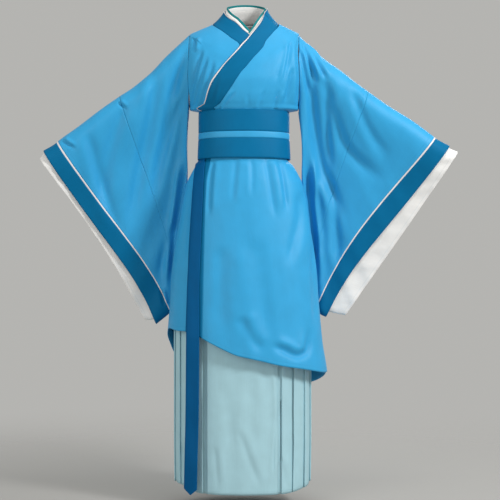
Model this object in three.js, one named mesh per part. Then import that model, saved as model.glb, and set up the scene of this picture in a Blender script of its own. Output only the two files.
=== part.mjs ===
// A hanfu-style stage costume in its worn, hollow shape: an inner robe, a pleated skirt, a cross-collar robe
// with wide sleeves, and a belt with a long streamer. Millimetres, +Z up, front towards -Y.
// The origin is inside the neck base, between the shoulders, where the wearer carries it.
import * as THREE from 'three';

const ROBE_CLOTH = 1.3;
const LINING_CLOTH = 1.0;
const SKIRT_CLOTH = 1.2;
const BAND_CLOTH = 1.6;
const BELT_CLOTH = 2.4;
const SEAM = 0.3;

// How far the inner face of each layer stands out from the wearer's general figure.
const INNER_ROBE = 0;
const INNER_COLLAR_UNDER = 2.3;
const INNER_COLLAR_OVER = 4;
const SKIRT_WAIST = 2.5;
const ROBE = 6;
const OVERLAP = 9.5;
const STREAMER = 13.4;
const BELT = 16.4;

const ROBE_OUTSIDE = ROBE + ROBE_CLOTH;

const SHOULDER_LEVEL = -36;
const UNDERARM_LEVEL = -243;
const NECKLINE_LEVEL = -6;
const BELT_TOP = -250;
const STRIPE_TOP = -311;
const STRIPE_BOTTOM = -329;
const BELT_BOTTOM = -385;
const SKIRT_TOP = -292;
const WAISTBAND_BOTTOM = -342;
const TUCKED_LEVEL = -262;
const FLARE_LEVELS = [-402, -432];
const ARMHOLE_X = 148;
const ARMHOLE_GAP = 0.6;
const ROUNDNESS = 2.2;
const BULGE_POWER = 8;
const DEGREE = Math.PI / 180;

const mix = (a, b, share) => a + (b - a) * share;
const clamp = (value, low, high) => Math.min(high, Math.max(low, value));
const ease = (value) => clamp(value, 0, 1) ** 2 * (3 - 2 * clamp(value, 0, 1));

function table(columns, rows) {
  return rows.map((row) => Object.fromEntries(columns.map((name, i) => [name, row[i]])));
}

// A smooth curve through one column of a table, read by another; it never swings past its rows.
function curve(rows, key, column) {
  const sorted = [...rows].sort((a, b) => a[key] - b[key]);
  const x = sorted.map((row) => row[key]);
  const y = sorted.map((row) => row[column]);
  const rise = x.slice(1).map((right, i) => (y[i + 1] - y[i]) / (right - x[i]));
  const slope = y.map((_, i) => {
    if (i === 0 || i === y.length - 1) {
      return rise[Math.min(i, rise.length - 1)];
    }
    const product = rise[i - 1] * rise[i];
    return product <= 0 ? 0 : (2 * product) / (rise[i - 1] + rise[i]);
  });
  return (at) => {
    const place = clamp(at, x[0], x[x.length - 1]);
    let i = 0;
    while (i < x.length - 2 && place > x[i + 1]) {
      i += 1;
    }
    const width = x[i + 1] - x[i];
    const t = (place - x[i]) / width;
    const [t2, t3] = [t * t, t * t * t];
    return (2 * t3 - 3 * t2 + 1) * y[i] + (t3 - 2 * t2 + t) * width * slope[i]
      + (3 * t2 - 2 * t3) * y[i + 1] + (t3 - t2) * width * slope[i + 1];
  };
}

// Rings of the figure. `level` is a ring's height at the sides; its front and back may sit higher or lower.
// `bulge` is how far the sides alone stand out further, where the cloth bags over the belt under the arms.
const RING_COLUMNS = ['level', 'centre', 'halfWidth', 'bulge', 'front', 'back', 'zFront', 'zBack'];
const RINGS = table(RING_COLUMNS, [
  [58, 6, 48, 0, 42, 44, 22, 68],
  [29, 6, 57, 0, 45, 47, -6, 46],
  [10, 6, 70, 0, 51, 54, -26, 28],
  [-6, 5, 87, 0, 59, 61, -43, 8],
  [-20, 2, 116, 0, 72, 72, -66, -12],
  [-36, 0, 147.7, 0, 84, 83, -94, -40],
  [-62, 0, 161, 0, 92, 90, -116, -74],
  [-100, 0, 167, 0, 98, 94, -140, -108],
  [-150, 0, 161, 4, 102, 95, -168, -153],
  [-195, 0, 147, 12, 99, 92, -200, -196],
  [-225, 0, 132, 20, 93, 88, -227, -226],
  [-235, 0, 127, 20.7, 89, 84, -236, -235],
  [-243, 0, 127, 20.7, 86, 82, -243, -243],
  [-250, 0, 113, 1, 83, 79, -250, -250],
  [-262, 0, 110.5, 0, 80.5, 76.5, -262, -262],
  [-385, 0, 114.5, 0, 84, 84, -385, -385],
  [-402, 0, 130, 0, 90, 92, -402, -402],
  [-432, 0, 147, 0, 97, 100, -432, -432],
  [-453, 0, 157, 0, 101, 105, -453, -453],
  [-570, 0, 178, 0, 114, 118, -570, -570],
  [-698, 0, 197, 0, 126, 130, -698, -698],
  [-789, 0, 203, 0, 133, 137, -789, -789],
  [-898, 0, 213, 0, 141, 145, -898, -898],
  [-983, 0, 228, 0, 148, 151, -983, -983],
  [-1060, 0, 234, 0, 153, 156, -1060, -1060],
]);

// Rings of the pleated skirt, which hangs straighter than the robe above it.
const SKIRT_RINGS = table(RING_COLUMNS, [
  [-262, 0, 113, 0, 83, 79, -262, -262],
  [-385, 0, 117, 0, 86.5, 86.5, -385, -385],
  [-402, -1, 130, 0, 92, 93, -402, -402],
  [-432, -2, 145, 0, 98, 100, -432, -432],
  [-570, -3, 171, 0, 111, 114, -570, -570],
  [-698, -4, 186, 0, 118, 121, -698, -698],
  [-870, -4, 192, 0, 122, 125, -870, -870],
  [-1150, -4, 192, 0, 124, 127, -1150, -1150],
  [-1320, -4, 190, 0, 124, 127, -1320, -1320],
]);

// A point of a ringed form, `out` from it. Angle 0 is +X, 90 degrees the front, 270 the back.
function ringedForm(rings) {
  const read = Object.fromEntries(RING_COLUMNS.map((name) => [name, curve(rings, 'level', name)]));
  const xAt = (angle, level, out) => {
    const across = Math.cos(angle);
    const reach = Math.abs(across) ** (2 / ROUNDNESS) * (read.halfWidth(level) + out)
      + Math.abs(across) ** BULGE_POWER * read.bulge(level);
    return read.centre(level) + Math.sign(across) * reach;
  };
  const pointAt = (angle, level, out) => {
    const through = Math.abs(Math.sin(angle));
    const isFront = Math.sin(angle) >= 0;
    const depth = (isFront ? read.front(level) : read.back(level)) + out;
    const middle = isFront ? read.zFront(level) : read.zBack(level);
    return new THREE.Vector3(
      xAt(angle, level, out),
      (isFront ? -1 : 1) * through ** (2 / ROUNDNESS) * depth,
      mix(level, middle, through ** 1.5) + out * ease((level + 150) / 90),
    );
  };
  return { xAt, pointAt, halfWidth: read.halfWidth };
}

const { xAt: figureX, pointAt: figure, halfWidth: figureWidth } = ringedForm(RINGS);
const { pointAt: skirtForm } = ringedForm(SKIRT_RINGS);

// The angle, from 0 to 180 degrees, at which a ring of the figure reaches x.
function angleAtX(x, level, out) {
  let [low, high] = [0, Math.PI];
  for (let i = 0; i < 40; i += 1) {
    const middle = (low + high) / 2;
    if (figureX(middle, level, out) > x) {
      low = middle;
    } else {
      high = middle;
    }
  }
  return (low + high) / 2;
}

// The angle and level of the point of the figure's front that is seen at (x, z).
function onFront(x, z, out) {
  let level = z;
  let angle = Math.PI / 2;
  for (let i = 0; i < 60; i += 1) {
    angle = angleAtX(x, level, out);
    level -= 0.5 * (figure(angle, level, out).z - z);
  }
  return { angle, level };
}

// A small turn from a side seam that leaves half of the seam's gap.
function seamTurn(depth) {
  return Math.asin((SEAM / 2 / depth) ** (ROUNDNESS / 2));
}

// ---- Walls of cloth ----

// A closed wall between an inner and an outer grid of points; a `tube` joins its last column to its first.
function wallGeometry(inner, outer, tube) {
  const rows = inner.length;
  const columns = inner[0].length;
  const points = [...inner.flat(), ...outer.flat()];
  const far = rows * columns;
  const at = (i, j) => i * columns + (j % columns);
  const triangles = [];
  const quad = (a, b, c, d) => triangles.push([a, b, c], [a, c, d]);
  const steps = tube ? columns : columns - 1;
  for (let i = 0; i < rows - 1; i += 1) {
    for (let j = 0; j < steps; j += 1) {
      quad(at(i, j), at(i, j + 1), at(i + 1, j + 1), at(i + 1, j));
      quad(far + at(i, j), far + at(i + 1, j), far + at(i + 1, j + 1), far + at(i, j + 1));
    }
  }
  for (let j = 0; j < steps; j += 1) {
    quad(at(0, j), far + at(0, j), far + at(0, j + 1), at(0, j + 1));
    quad(at(rows - 1, j), at(rows - 1, j + 1), far + at(rows - 1, j + 1), far + at(rows - 1, j));
  }
  for (let i = 0; !tube && i < rows - 1; i += 1) {
    quad(at(i, 0), at(i + 1, 0), far + at(i + 1, 0), far + at(i, 0));
    quad(at(i, columns - 1), far + at(i, columns - 1), far + at(i + 1, columns - 1), at(i + 1, columns - 1));
  }
  const volume = triangles.reduce((sum, [a, b, c]) => (
    sum + points[a].dot(new THREE.Vector3().crossVectors(points[b], points[c]))), 0);
  const facing = volume > 0 ? triangles : triangles.map(([a, b, c]) => [a, c, b]);
  const geometry = new THREE.BufferGeometry();
  geometry.setAttribute('position', new THREE.Float32BufferAttribute(points.flatMap((p) => p.toArray()), 3));
  geometry.setIndex(facing.flat());
  geometry.computeVertexNormals();
  return geometry;
}

// A wall from a rule that gives the point of row i and column j at a distance `out`.
function wall(rows, columns, out, thickness, pointAt, tube = false) {
  const grid = (extra) => Array.from({ length: rows }, (_, i) => (
    Array.from({ length: columns }, (__, j) => pointAt(i, j, out + extra))));
  return wallGeometry(grid(0), grid(thickness), tube);
}

const costume = new THREE.Group();

function addPiece(name, colour, roughness, geometry) {
  const material = new THREE.MeshStandardMaterial({ color: colour, roughness, metalness: 0 });
  const mesh = new THREE.Mesh(geometry, material);
  mesh.name = name;
  costume.add(mesh);
}

const ROBE_BLUE = 0x40a7dc;
const BAND_BLUE = 0x0b6999;
const WHITE = 0xe4e4e0;
const TEAL = 0x1e8282;
const AQUA = 0x9dbec9;
const SATIN = 0.55;
const MATTE = 0.75;

// ---- Collar lines, as seen from the front: where the band is sewn on, and its free edge ----

const OVERLAP_COLLAR = table(['seamX', 'seamZ', 'freeX', 'freeZ'], [
  [99, -5, 59, 33],
  [80, -34, 37, -15],
  [58, -66, 12, -49],
  [33.5, -102, -13, -79],
  [1.6, -140, -46, -117],
  [-34, -190, -88, -170],
  [-64, -232, -111, -232],
  [-80, -252, -117, -252],
  [-86, -300, -118, -300],
]);
const UNDERLAP_COLLAR = table(['seamX', 'seamZ', 'freeX', 'freeZ'], [
  [-89, -2, -60, 36],
  [-64, -25, -24, 2],
  [-39, -47, 0, -24],
  [-13, -70, 20, -44],
  [12, -106, 54, -82],
  [30, -158, 75, -140],
  [44, -212, 87, -208],
  [50, -255, 91, -255],
  [52, -300, 93, -300],
]);
const INNER_OVERLAP_COLLAR = table(['seamX', 'seamZ', 'freeX', 'freeZ'], [
  [92, -3, 54, 40],
  [76, -32, 36, 6],
  [50, -58, 20, -21],
  [24, -84, -6, -56],
  [-4, -124, -38, -98],
  [-34, -172, -70, -148],
  [-56, -236, -94, -226],
]);
const INNER_UNDERLAP_COLLAR = table(['seamX', 'seamZ', 'freeX', 'freeZ'], [
  [-85, -4, -47, 52],
  [-64, -27, -16, 13],
  [-39, -49, 7, -13],
  [-14, -70, 27, -38],
  [12, -98, 48, -70],
  [30, -130, 68, -112],
  [44, -180, 84, -166],
  [54, -236, 94, -230],
]);

// The stations of a collar on the figure, each with the angle and level of its sewn and its free edge.
function collarOnFigure(rows, out, turn) {
  return rows.map((row) => {
    const seam = onFront(row.seamX, row.seamZ, out);
    const free = onFront(row.freeX, row.freeZ, out);
    return {
      seamAngle: seam.angle - turn,
      seamLevel: seam.level,
      freeAngle: free.angle - turn,
      freeLevel: free.level,
    };
  });
}

function collarReader(rows, out, turn) {
  const stations = collarOnFigure(rows, out, turn);
  return {
    top: stations[0],
    seamAngle: curve(stations, 'seamLevel', 'seamAngle'),
    freeAngle: curve(stations, 'seamLevel', 'freeAngle'),
    freeLevel: curve(stations, 'seamLevel', 'freeLevel'),
  };
}

const overlapCollar = collarReader(OVERLAP_COLLAR, OVERLAP, 0);
const underlapCollar = collarReader(UNDERLAP_COLLAR, ROBE, 2 * Math.PI);
const innerOverlapCollar = collarReader(INNER_OVERLAP_COLLAR, INNER_COLLAR_OVER, 0);
const innerUnderlapCollar = collarReader(INNER_UNDERLAP_COLLAR, INNER_COLLAR_UNDER, 2 * Math.PI);

// Levels that the fronts and their collars share, so that their edges meet point for point.
const ARMHOLE_LEVELS = [-36, -44, -60, -92, -135, -175, -208, -226, -243];
const WAIST_LEVELS = [-250, TUCKED_LEVEL, -300];
const FRONT_LEVELS = [-7, -8, -9.5, -11.5, -15, -20, -28, ...ARMHOLE_LEVELS, ...WAIST_LEVELS];
const NAPE_STEPS = 10;
const LEVEL_ENDS = -232;

// Every station of a whole collar: up one front, round the nape, and down the other front.
function collarPath(over, under, levels, bottom, overOut, backOut, underOut) {
  const used = levels.filter((level) => level > bottom).concat([bottom]);
  const front = (reader, level, out) => ({
    seamAngle: reader.seamAngle(level),
    seamLevel: level,
    freeAngle: reader.freeAngle(level),
    freeLevel: level <= LEVEL_ENDS ? level : reader.freeLevel(level),
    out,
  });
  const rising = (angle) => ease((angle / DEGREE - 10) / 35);
  const rightSide = used.map((level) => (
    front(over, level, mix(backOut, overOut, rising(over.seamAngle(level))))));
  const leftSide = used.map((level) => front(under, level, underOut));
  const [start, end] = [rightSide[0], leftSide[0]];
  const nape = Array.from({ length: NAPE_STEPS + 1 }, (_, i) => {
    const share = i / NAPE_STEPS;
    return {
      seamAngle: mix(0, -Math.PI, share),
      seamLevel: NECKLINE_LEVEL,
      freeAngle: mix(0, -Math.PI, share),
      freeLevel: mix(start.freeLevel, end.freeLevel, share) + 2 + 6 * Math.sin(Math.PI * share),
      out: backOut,
    };
  });
  return [...rightSide.reverse(), ...nape, ...leftSide];
}

// A strip of a collar between two shares of its width, 0 at the seam and 1 at the free edge.
function collarStrip(path, from, to, steps, thickness) {
  return wall(path.length, steps + 1, 0, thickness, (i, j, extra) => {
    const station = path[i];
    const share = mix(from, to, j / steps);
    return figure(
      mix(station.seamAngle, station.freeAngle, share),
      mix(station.seamLevel, station.freeLevel, share),
      station.out + extra,
    );
  });
}

// ---- Hems of the robe, by angle in degrees ----

const OVERLAP_HEM = table(['degrees', 'z'], [
  [0, -985], [13, -985], [54, -966], [67, -958], [79, -946], [93, -931], [102, -915], [111, -898],
  [121, -881], [136, -867], [160, -858],
]);
const UNDERLAP_HEM = table(['degrees', 'z'], [[60, -868], [145, -866], [165, -861], [180, -878]]);
const BACK_HEM = table(['degrees', 'z'], [
  [180, -880], [195, -906], [210, -944], [240, -1008], [270, -1040], [300, -1045], [320, -1031],
  [345, -1005], [360, -987],
]);
const overlapHem = curve(OVERLAP_HEM, 'degrees', 'z');
const underlapHem = curve(UNDERLAP_HEM, 'degrees', 'z');
const backHem = curve(BACK_HEM, 'degrees', 'z');

const HEM_SHARES = [0.3, 0.62, 1];
const [LAST_FLARE] = FLARE_LEVELS.slice(-1);

// Under the arms an inner layer sits higher than an outer one, so that its sleeve passes inside the other.
function nestedLevel(level, out) {
  const share = (level - SHOULDER_LEVEL) / (UNDERARM_LEVEL - SHOULDER_LEVEL);
  return share < 0 || share > 1 ? level : level + (ROBE_OUTSIDE - out) * share;
}

// The level of row i: the shared levels first, then shares of the way from below the belt to the hem.
function rowLevel(levels, i, angle, hem) {
  return i < levels.length ? levels[i] : mix(LAST_FLARE, hem(angle / DEGREE), HEM_SHARES[i - levels.length]);
}

// The side edge of a body panel, measured from the side line: the shoulder, the armhole or the side seam.
function sideTurn(level, out) {
  if (level < SHOULDER_LEVEL && level > nestedLevel(UNDERARM_LEVEL, out)) {
    return angleAtX(ARMHOLE_X + out - SEAM, level, out);
  }
  return seamTurn(figureWidth(level) * 0.6);
}

// ---- Outer robe: body ----

const BODY_LEVELS = [...FRONT_LEVELS, BELT_BOTTOM, ...FLARE_LEVELS];
const COLLAR_END = -300;
const EDGE_BY_LEVEL = table(['level', 'freeX', 'seamX'], [
  [-300, -118, -86], [-385, -123, -92], [-453, -139, -104], [-612, -150, -110], [-866, -160, -115],
]);
const edgeFreeX = curve(EDGE_BY_LEVEL, 'level', 'freeX');
const edgeSeamX = curve(EDGE_BY_LEVEL, 'level', 'seamX');

// The overlap's inner edge: the collar's seam down to its end, then the seam of the front edge band.
function overlapInnerAngle(level) {
  return level >= COLLAR_END ? overlapCollar.seamAngle(level) : angleAtX(edgeSeamX(level), level, OVERLAP);
}

function underlapInnerAngle(level) {
  const end = UNDERLAP_COLLAR[UNDERLAP_COLLAR.length - 1];
  return level >= COLLAR_END
    ? underlapCollar.seamAngle(level) + 2 * Math.PI : angleAtX(end.seamX, level, ROBE);
}

const OVERLAP_RISE = 30;

// A front: columns run from the side line to the inner edge, and it sinks to the back's layer at its side.
function frontPanel(side, innerAngle, hem, out, columns, thickness) {
  const rows = BODY_LEVELS.length + HEM_SHARES.length;
  return wall(rows, columns, 0, thickness, (i, j, extra) => {
    const share = j / (columns - 1);
    let angle = Math.PI / 2;
    let level = 0;
    let fromSide = 0;
    for (let pass = 0; pass < 4; pass += 1) {
      level = nestedLevel(rowLevel(BODY_LEVELS, i, angle, hem), ROBE + extra);
      const turn = sideTurn(level, ROBE + extra);
      const from = side > 0 ? turn : Math.PI - turn;
      const to = innerAngle(level) - (side * SEAM) / figureWidth(level);
      angle = mix(from, to, share);
      fromSide = Math.abs(to - from) * figureWidth(level) * share;
    }
    return figure(angle, level, mix(ROBE, out, ease(fromSide / OVERLAP_RISE)) + extra);
  });
}

addPiece('robe_front_left', ROBE_BLUE, SATIN,
  frontPanel(1, overlapInnerAngle, overlapHem, OVERLAP, 11, ROBE_CLOTH));
addPiece('robe_front_right', ROBE_BLUE, SATIN,
  frontPanel(-1, underlapInnerAngle, underlapHem, ROBE, 9, ROBE_CLOTH));

const BACK_COLUMNS = 12;
const BACK_LEVELS = [
  NECKLINE_LEVEL - SEAM, -20, ...ARMHOLE_LEVELS, ...WAIST_LEVELS, BELT_BOTTOM, ...FLARE_LEVELS,
];

addPiece('robe_back', ROBE_BLUE, SATIN, wall(
  BACK_LEVELS.length + HEM_SHARES.length, BACK_COLUMNS, ROBE, ROBE_CLOTH, (i, j, out) => {
    const share = j / (BACK_COLUMNS - 1);
    let angle = 1.5 * Math.PI;
    let level = 0;
    for (let pass = 0; pass < 4; pass += 1) {
      level = nestedLevel(rowLevel(BACK_LEVELS, i, angle, backHem), out);
      const turn = sideTurn(level, out);
      angle = mix(Math.PI + turn, 2 * Math.PI - turn, share);
    }
    return figure(angle, level, out);
  },
));

const robeCollarPath = collarPath(
  overlapCollar, underlapCollar, FRONT_LEVELS, COLLAR_END, OVERLAP, ROBE, ROBE,
);
addPiece('collar_band', BAND_BLUE, SATIN, collarStrip(robeCollarPath, 0.01, 0.93, 2, BAND_CLOTH));
addPiece('collar_piping', WHITE, SATIN, collarStrip(robeCollarPath, 0.94, 1, 1, BAND_CLOTH));

const EDGE_BAND_LEVELS = [COLLAR_END - SEAM, BELT_BOTTOM, ...FLARE_LEVELS];
const EDGE_BAND_ROWS = EDGE_BAND_LEVELS.length + HEM_SHARES.length;
addPiece('front_edge_band', BAND_BLUE, SATIN, wall(EDGE_BAND_ROWS, 4, OVERLAP, BAND_CLOTH, (i, j, out) => {
  let angle = 130 * DEGREE;
  let level = 0;
  for (let pass = 0; pass < 6; pass += 1) {
    level = rowLevel(EDGE_BAND_LEVELS, i, angle, overlapHem);
    const seam = angleAtX(edgeSeamX(level), level, OVERLAP) + SEAM / figureWidth(level);
    angle = mix(seam, angleAtX(edgeFreeX(level), level, OVERLAP), j / 3);
  }
  return figure(angle, level, out);
}));

// ---- Sleeves ----

// Lines across a sleeve from the top of the arm to the hanging edge, and how thick it stands there.
const SLEEVE_COLUMNS = ['topX', 'topZ', 'lowX', 'lowZ', 'lowY', 'arm', 'tail', 'fall', 'bow', 'bowAt'];
const RIGHT_SLEEVE = table(SLEEVE_COLUMNS, [
  [188, -59, 162, -330, 14, 50, 16, 210, 0, 0.5],
  [224, -93, 163, -447, 38, 46, 14, 200, 0, 0.5],
  [270, -141, 179, -565, 60, 43, 13, 180, -2, 0.6],
  [318, -180, 192, -648, 68, 41, 13, 170, -5, 0.65],
  [355, -204, 200, -706, 70, 40, 13, 160, -8, 0.7],
  [411, -243, 205, -757, 70, 38, 13, 150, -11, 0.72],
  [470, -288, 208, -793, 69, 36, 13, 150, -14, 0.74],
  [530, -331.5, 212, -820, 68, 34, 13, 150, -15, 0.74],
]);
const LEFT_SLEEVE = table(SLEEVE_COLUMNS, [
  [191, -65, 166, -345, 14, 50, 16, 210, 0, 0.5],
  [232, -100, 166, -447, 38, 46, 14, 200, 0, 0.5],
  [275, -130, 179, -565, 60, 43, 13, 180, -4, 0.6],
  [318, -164, 191, -648, 68, 41, 13, 170, -8, 0.6],
  [354, -190, 198, -706, 70, 40, 13, 160, -12, 0.6],
  [415, -233, 202, -752, 70, 38, 13, 150, -17, 0.6],
  [478, -272, 204, -785, 70, 36, 13, 150, -22, 0.6],
  [542, -319.5, 205, -811, 68, 34, 13, 150, -25, 0.6],
]);
const PIPING_END = { right: [533.5, -335, 214, -822.5], left: [545.5, -322.5, 207, -814] };
const BAND_END = { right: [571, -358, 255, -856.5], left: [585.5, -344.5, 238, -835] };
const BAND_BOW = { right: [-15, 0.74], left: [-16, 0.72] };
const INNER_SLEEVE_END = { right: [585.5, -375.5, 284.5, -847], left: [612.5, -356, 290.5, -833] };
const JOIN_ROW = 4;

const sleeveRow = (rows, end, bow) => ({
  ...rows[rows.length - 1],
  topX: end[0], topZ: end[1], lowX: end[2], lowZ: end[3], bow: bow[0], bowAt: bow[1],
});

// How thick half of a sleeve stands at a share of its section: round over the arm, thin where it hangs.
function halfThickness(section, share, length, out) {
  const fromTop = share * length;
  const overArm = Math.sqrt(1 - (1 - Math.min(1, fromTop / (section.arm * 1.15))) ** 2);
  const fallen = ease((fromTop - section.arm) / section.fall);
  const closing = Math.sqrt(1 - (1 - Math.min(1, (length - fromTop) / (section.tail * 1.3))) ** 2);
  return (mix(section.arm, section.tail, fallen) + out) * overArm * closing;
}

// A point of a sleeve's section loop: k runs down the front and up the back.
function sectionPoint(section, side, k, out) {
  const last = ARMHOLE_LEVELS.length - 1;
  const isFront = k <= last;
  const level = ARMHOLE_LEVELS[isFront ? k : 2 * last - k];
  const share = (level - SHOULDER_LEVEL) / (UNDERARM_LEVEL - SHOULDER_LEVEL);
  const top = new THREE.Vector2(section.topX, section.topZ);
  const low = new THREE.Vector2(section.lowX, section.lowZ);
  const along = low.clone().sub(top);
  const length = along.length();
  along.normalize();
  const outward = new THREE.Vector2(-along.y, along.x);
  const bowed = section.bow * Math.sin(Math.PI * share ** (Math.log(0.5) / Math.log(section.bowAt)));
  const grow = out - ROBE_OUTSIDE;
  const place = top.addScaledVector(along, mix(-grow, length + grow, share)).addScaledVector(outward, bowed);
  const thick = halfThickness(section, share, length, grow);
  const middleY = mix(0, section.lowY, ease(share * 1.1));
  return new THREE.Vector3(side * place.x, middleY + (isFront ? -thick : thick), place.y);
}

// A point of the armhole loop, on the figure at the armhole's plane; or carried on past the robe's armhole
// and drawn in there, most at the top.
const PAST_ROBE_ARMHOLE = 11.4;
const DRAWN_IN = 0.14;
const DRAWN_DOWN = 7;
function armholePoint(side, k, out, isPast) {
  const last = ARMHOLE_LEVELS.length - 1;
  const isFront = k <= last;
  const level = nestedLevel(ARMHOLE_LEVELS[isFront ? k : 2 * last - k], out);
  const plane = ARMHOLE_X + out + ARMHOLE_GAP;
  const turn = k === 0 || k === last ? 0 : angleAtX(plane, level, out);
  const point = figure(isFront ? turn : -turn, level, out);
  if (!isPast) {
    return new THREE.Vector3(side * plane, point.y, point.z);
  }
  const toTop = 1 - (isFront ? k : 2 * last - k) / last;
  return new THREE.Vector3(
    side * (plane + PAST_ROBE_ARMHOLE), point.y * (1 - DRAWN_IN), point.z - DRAWN_DOWN * toTop ** 2);
}

const LOOP = 2 * ARMHOLE_LEVELS.length - 2;

// The inside of loop i of a tube, straight in from its outside by the thickness of the cloth.
function insideOfLoop(outer, i, thickness) {
  const loop = outer[i];
  const centre = loop.reduce((sum, point) => sum.add(point), new THREE.Vector3()).divideScalar(LOOP);
  const steps = i === 0 ? [[0, 1]] : [[i - 1, i], [i, i + 1]];
  const normals = loop.map((_, k) => {
    const across = loop[(k + 1) % LOOP].clone().sub(loop[(k + LOOP - 1) % LOOP]);
    const normal = new THREE.Vector3();
    for (const [from, to] of steps) {
      normal.add(across.clone().cross(outer[to][k].clone().sub(outer[from][k])).normalize());
    }
    return normal.multiplyScalar(steps.length / normal.lengthSq());
  });
  const facing = normals.reduce((sum, normal, k) => sum + normal.dot(loop[k].clone().sub(centre)), 0);
  const inwards = facing > 0 ? -thickness : thickness;
  return loop.map((point, k) => point.clone().addScaledVector(normals[k], inwards));
}

// A tube of cloth through a list of sections. The words at armhole and past armhole stand for its loops
// there, below which the cloth turns straight down.
function sleeveTube(sections, side, out, thickness) {
  const isArmhole = (section) => section === 'at armhole' || section === 'past armhole';
  const skin = (at) => sections.map((section) => Array.from({ length: LOOP }, (_, k) => (
    isArmhole(section) ? armholePoint(side, k, at, section === 'past armhole')
      : sectionPoint(section, side, k, at))));
  const outer = skin(out + thickness);
  const inner = skin(out).map((loop, i) => (
    isArmhole(sections[i]) ? insideOfLoop(outer, i, thickness) : loop));
  return wallGeometry(inner, outer, true);
}

// A section moved along the sleeve by a small gap, towards the cuff.
function stepped(section, gap) {
  return { ...section, topX: section.topX + gap * 0.85, topZ: section.topZ - gap * 0.55,
    lowX: section.lowX + gap * 0.85, lowZ: section.lowZ - gap * 0.55 };
}

function addSleeve(name, side, rows, where) {
  const join = rows[JOIN_ROW];
  const wingEnd = rows[rows.length - 1];
  const pipingEnd = sleeveRow(rows, PIPING_END[where], [wingEnd.bow, wingEnd.bowAt]);
  const bandEnd = sleeveRow(rows, BAND_END[where], BAND_BOW[where]);
  const bandMiddle = { ...bandEnd };
  for (const key of ['topX', 'topZ', 'lowX', 'lowZ', 'bow']) {
    bandMiddle[key] = mix(pipingEnd[key], bandEnd[key], 0.5);
  }
  addPiece(`sleeve_upper_${name}`, ROBE_BLUE, SATIN,
    sleeveTube(['at armhole', ...rows.slice(0, JOIN_ROW + 1)], side, ROBE, ROBE_CLOTH));
  addPiece(`sleeve_wing_${name}`, ROBE_BLUE, SATIN,
    sleeveTube([stepped(join, SEAM), ...rows.slice(JOIN_ROW + 1)], side, ROBE, ROBE_CLOTH));
  addPiece(`cuff_piping_${name}`, WHITE, SATIN,
    sleeveTube([stepped(wingEnd, SEAM), pipingEnd], side, ROBE, ROBE_CLOTH));
  addPiece(`cuff_band_${name}`, BAND_BLUE, SATIN,
    sleeveTube([stepped(pipingEnd, SEAM), bandMiddle, bandEnd], side, ROBE, ROBE_CLOTH));
}

addSleeve('right', -1, RIGHT_SLEEVE, 'right');
addSleeve('left', 1, LEFT_SLEEVE, 'left');

// ---- Inner robe ----

const INNER_HEM = -330;
const INNER_LEVELS = [-20, ...ARMHOLE_LEVELS, -250, TUCKED_LEVEL, INNER_HEM];
const INNER_COLUMNS = 9;
const NECK_DROP = 62;
const NECK_FADE = 72;

// The front is one plain piece, because the outer robe covers it; its neck dips in a V under the collar.
function innerPanel(levels, from, neckDrop) {
  return wall(levels.length, INNER_COLUMNS, INNER_ROBE, LINING_CLOTH, (i, j, out) => {
    const share = j / (INNER_COLUMNS - 1);
    const level = nestedLevel(levels[i], out);
    const turn = sideTurn(level, out);
    const fallen = Math.max(0, 1 - (levels[0] - levels[i]) / NECK_FADE);
    const drop = neckDrop * fallen * Math.sin(Math.PI * share) ** 4;
    return figure(mix(from + turn, from + Math.PI - turn, share), level - drop, out);
  });
}

addPiece('inner_front', WHITE, MATTE, innerPanel(INNER_LEVELS, 0, NECK_DROP));
addPiece('inner_back', WHITE, MATTE, innerPanel([NECKLINE_LEVEL, ...INNER_LEVELS], Math.PI, 0));

const innerCollarPath = collarPath(
  innerOverlapCollar, innerUnderlapCollar, FRONT_LEVELS.slice(0, -4), -232,
  INNER_COLLAR_OVER, INNER_COLLAR_UNDER, INNER_COLLAR_UNDER,
);
addPiece('inner_collar', WHITE, MATTE, collarStrip(innerCollarPath, 0, 0.86, 2, LINING_CLOTH));
addPiece('inner_collar_edge', TEAL, SATIN, collarStrip(innerCollarPath, 0.87, 1, 1, LINING_CLOTH));

const INNER_UPPER_ROWS = [0, 1, 2, 3, JOIN_ROW];
const INNER_WING_ROWS = [6, 7];

function addInnerSleeve(name, side, rows, where) {
  const end = sleeveRow(rows, INNER_SLEEVE_END[where], [where === 'right' ? -12 : 3, 0.5]);
  const cuff = sleeveRow(rows, BAND_END[where], BAND_BOW[where]);
  const under = { ...cuff, lowX: mix(cuff.lowX, end.lowX, 0.15), lowZ: cuff.lowZ + 9 };
  const grown = ROBE_OUTSIDE - INNER_ROBE - LINING_CLOTH;
  const hem = { ...end, lowZ: end.lowZ - grown * 0.5 };
  const upper = ['at armhole', 'past armhole', ...INNER_UPPER_ROWS.map((row) => rows[row])];
  const wing = [stepped(rows[JOIN_ROW], SEAM), ...INNER_WING_ROWS.map((row) => rows[row]), under, hem];
  addPiece(`inner_sleeve_upper_${name}`, WHITE, MATTE, sleeveTube(upper, side, INNER_ROBE, LINING_CLOTH));
  addPiece(`inner_sleeve_wing_${name}`, WHITE, MATTE, sleeveTube(wing, side, INNER_ROBE, LINING_CLOTH));
}

addInnerSleeve('right', -1, RIGHT_SLEEVE, 'right');
addInnerSleeve('left', 1, LEFT_SLEEVE, 'left');

// ---- Belt and streamer ----

const BELT_COLUMNS = 26;

// A strip all round the waist between two heights, on the figure as it is under the belt.
function waistStrip(top, bottom, out, thickness) {
  return wall(2, BELT_COLUMNS, out, thickness, (i, j, at) => {
    const z = i === 0 ? top : bottom;
    return figure((2 * Math.PI * j) / BELT_COLUMNS, Math.min(z, TUCKED_LEVEL), at).setZ(z);
  }, true);
}

const beltStrip = (top, bottom) => waistStrip(top, bottom, BELT, BELT_CLOTH);

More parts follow.
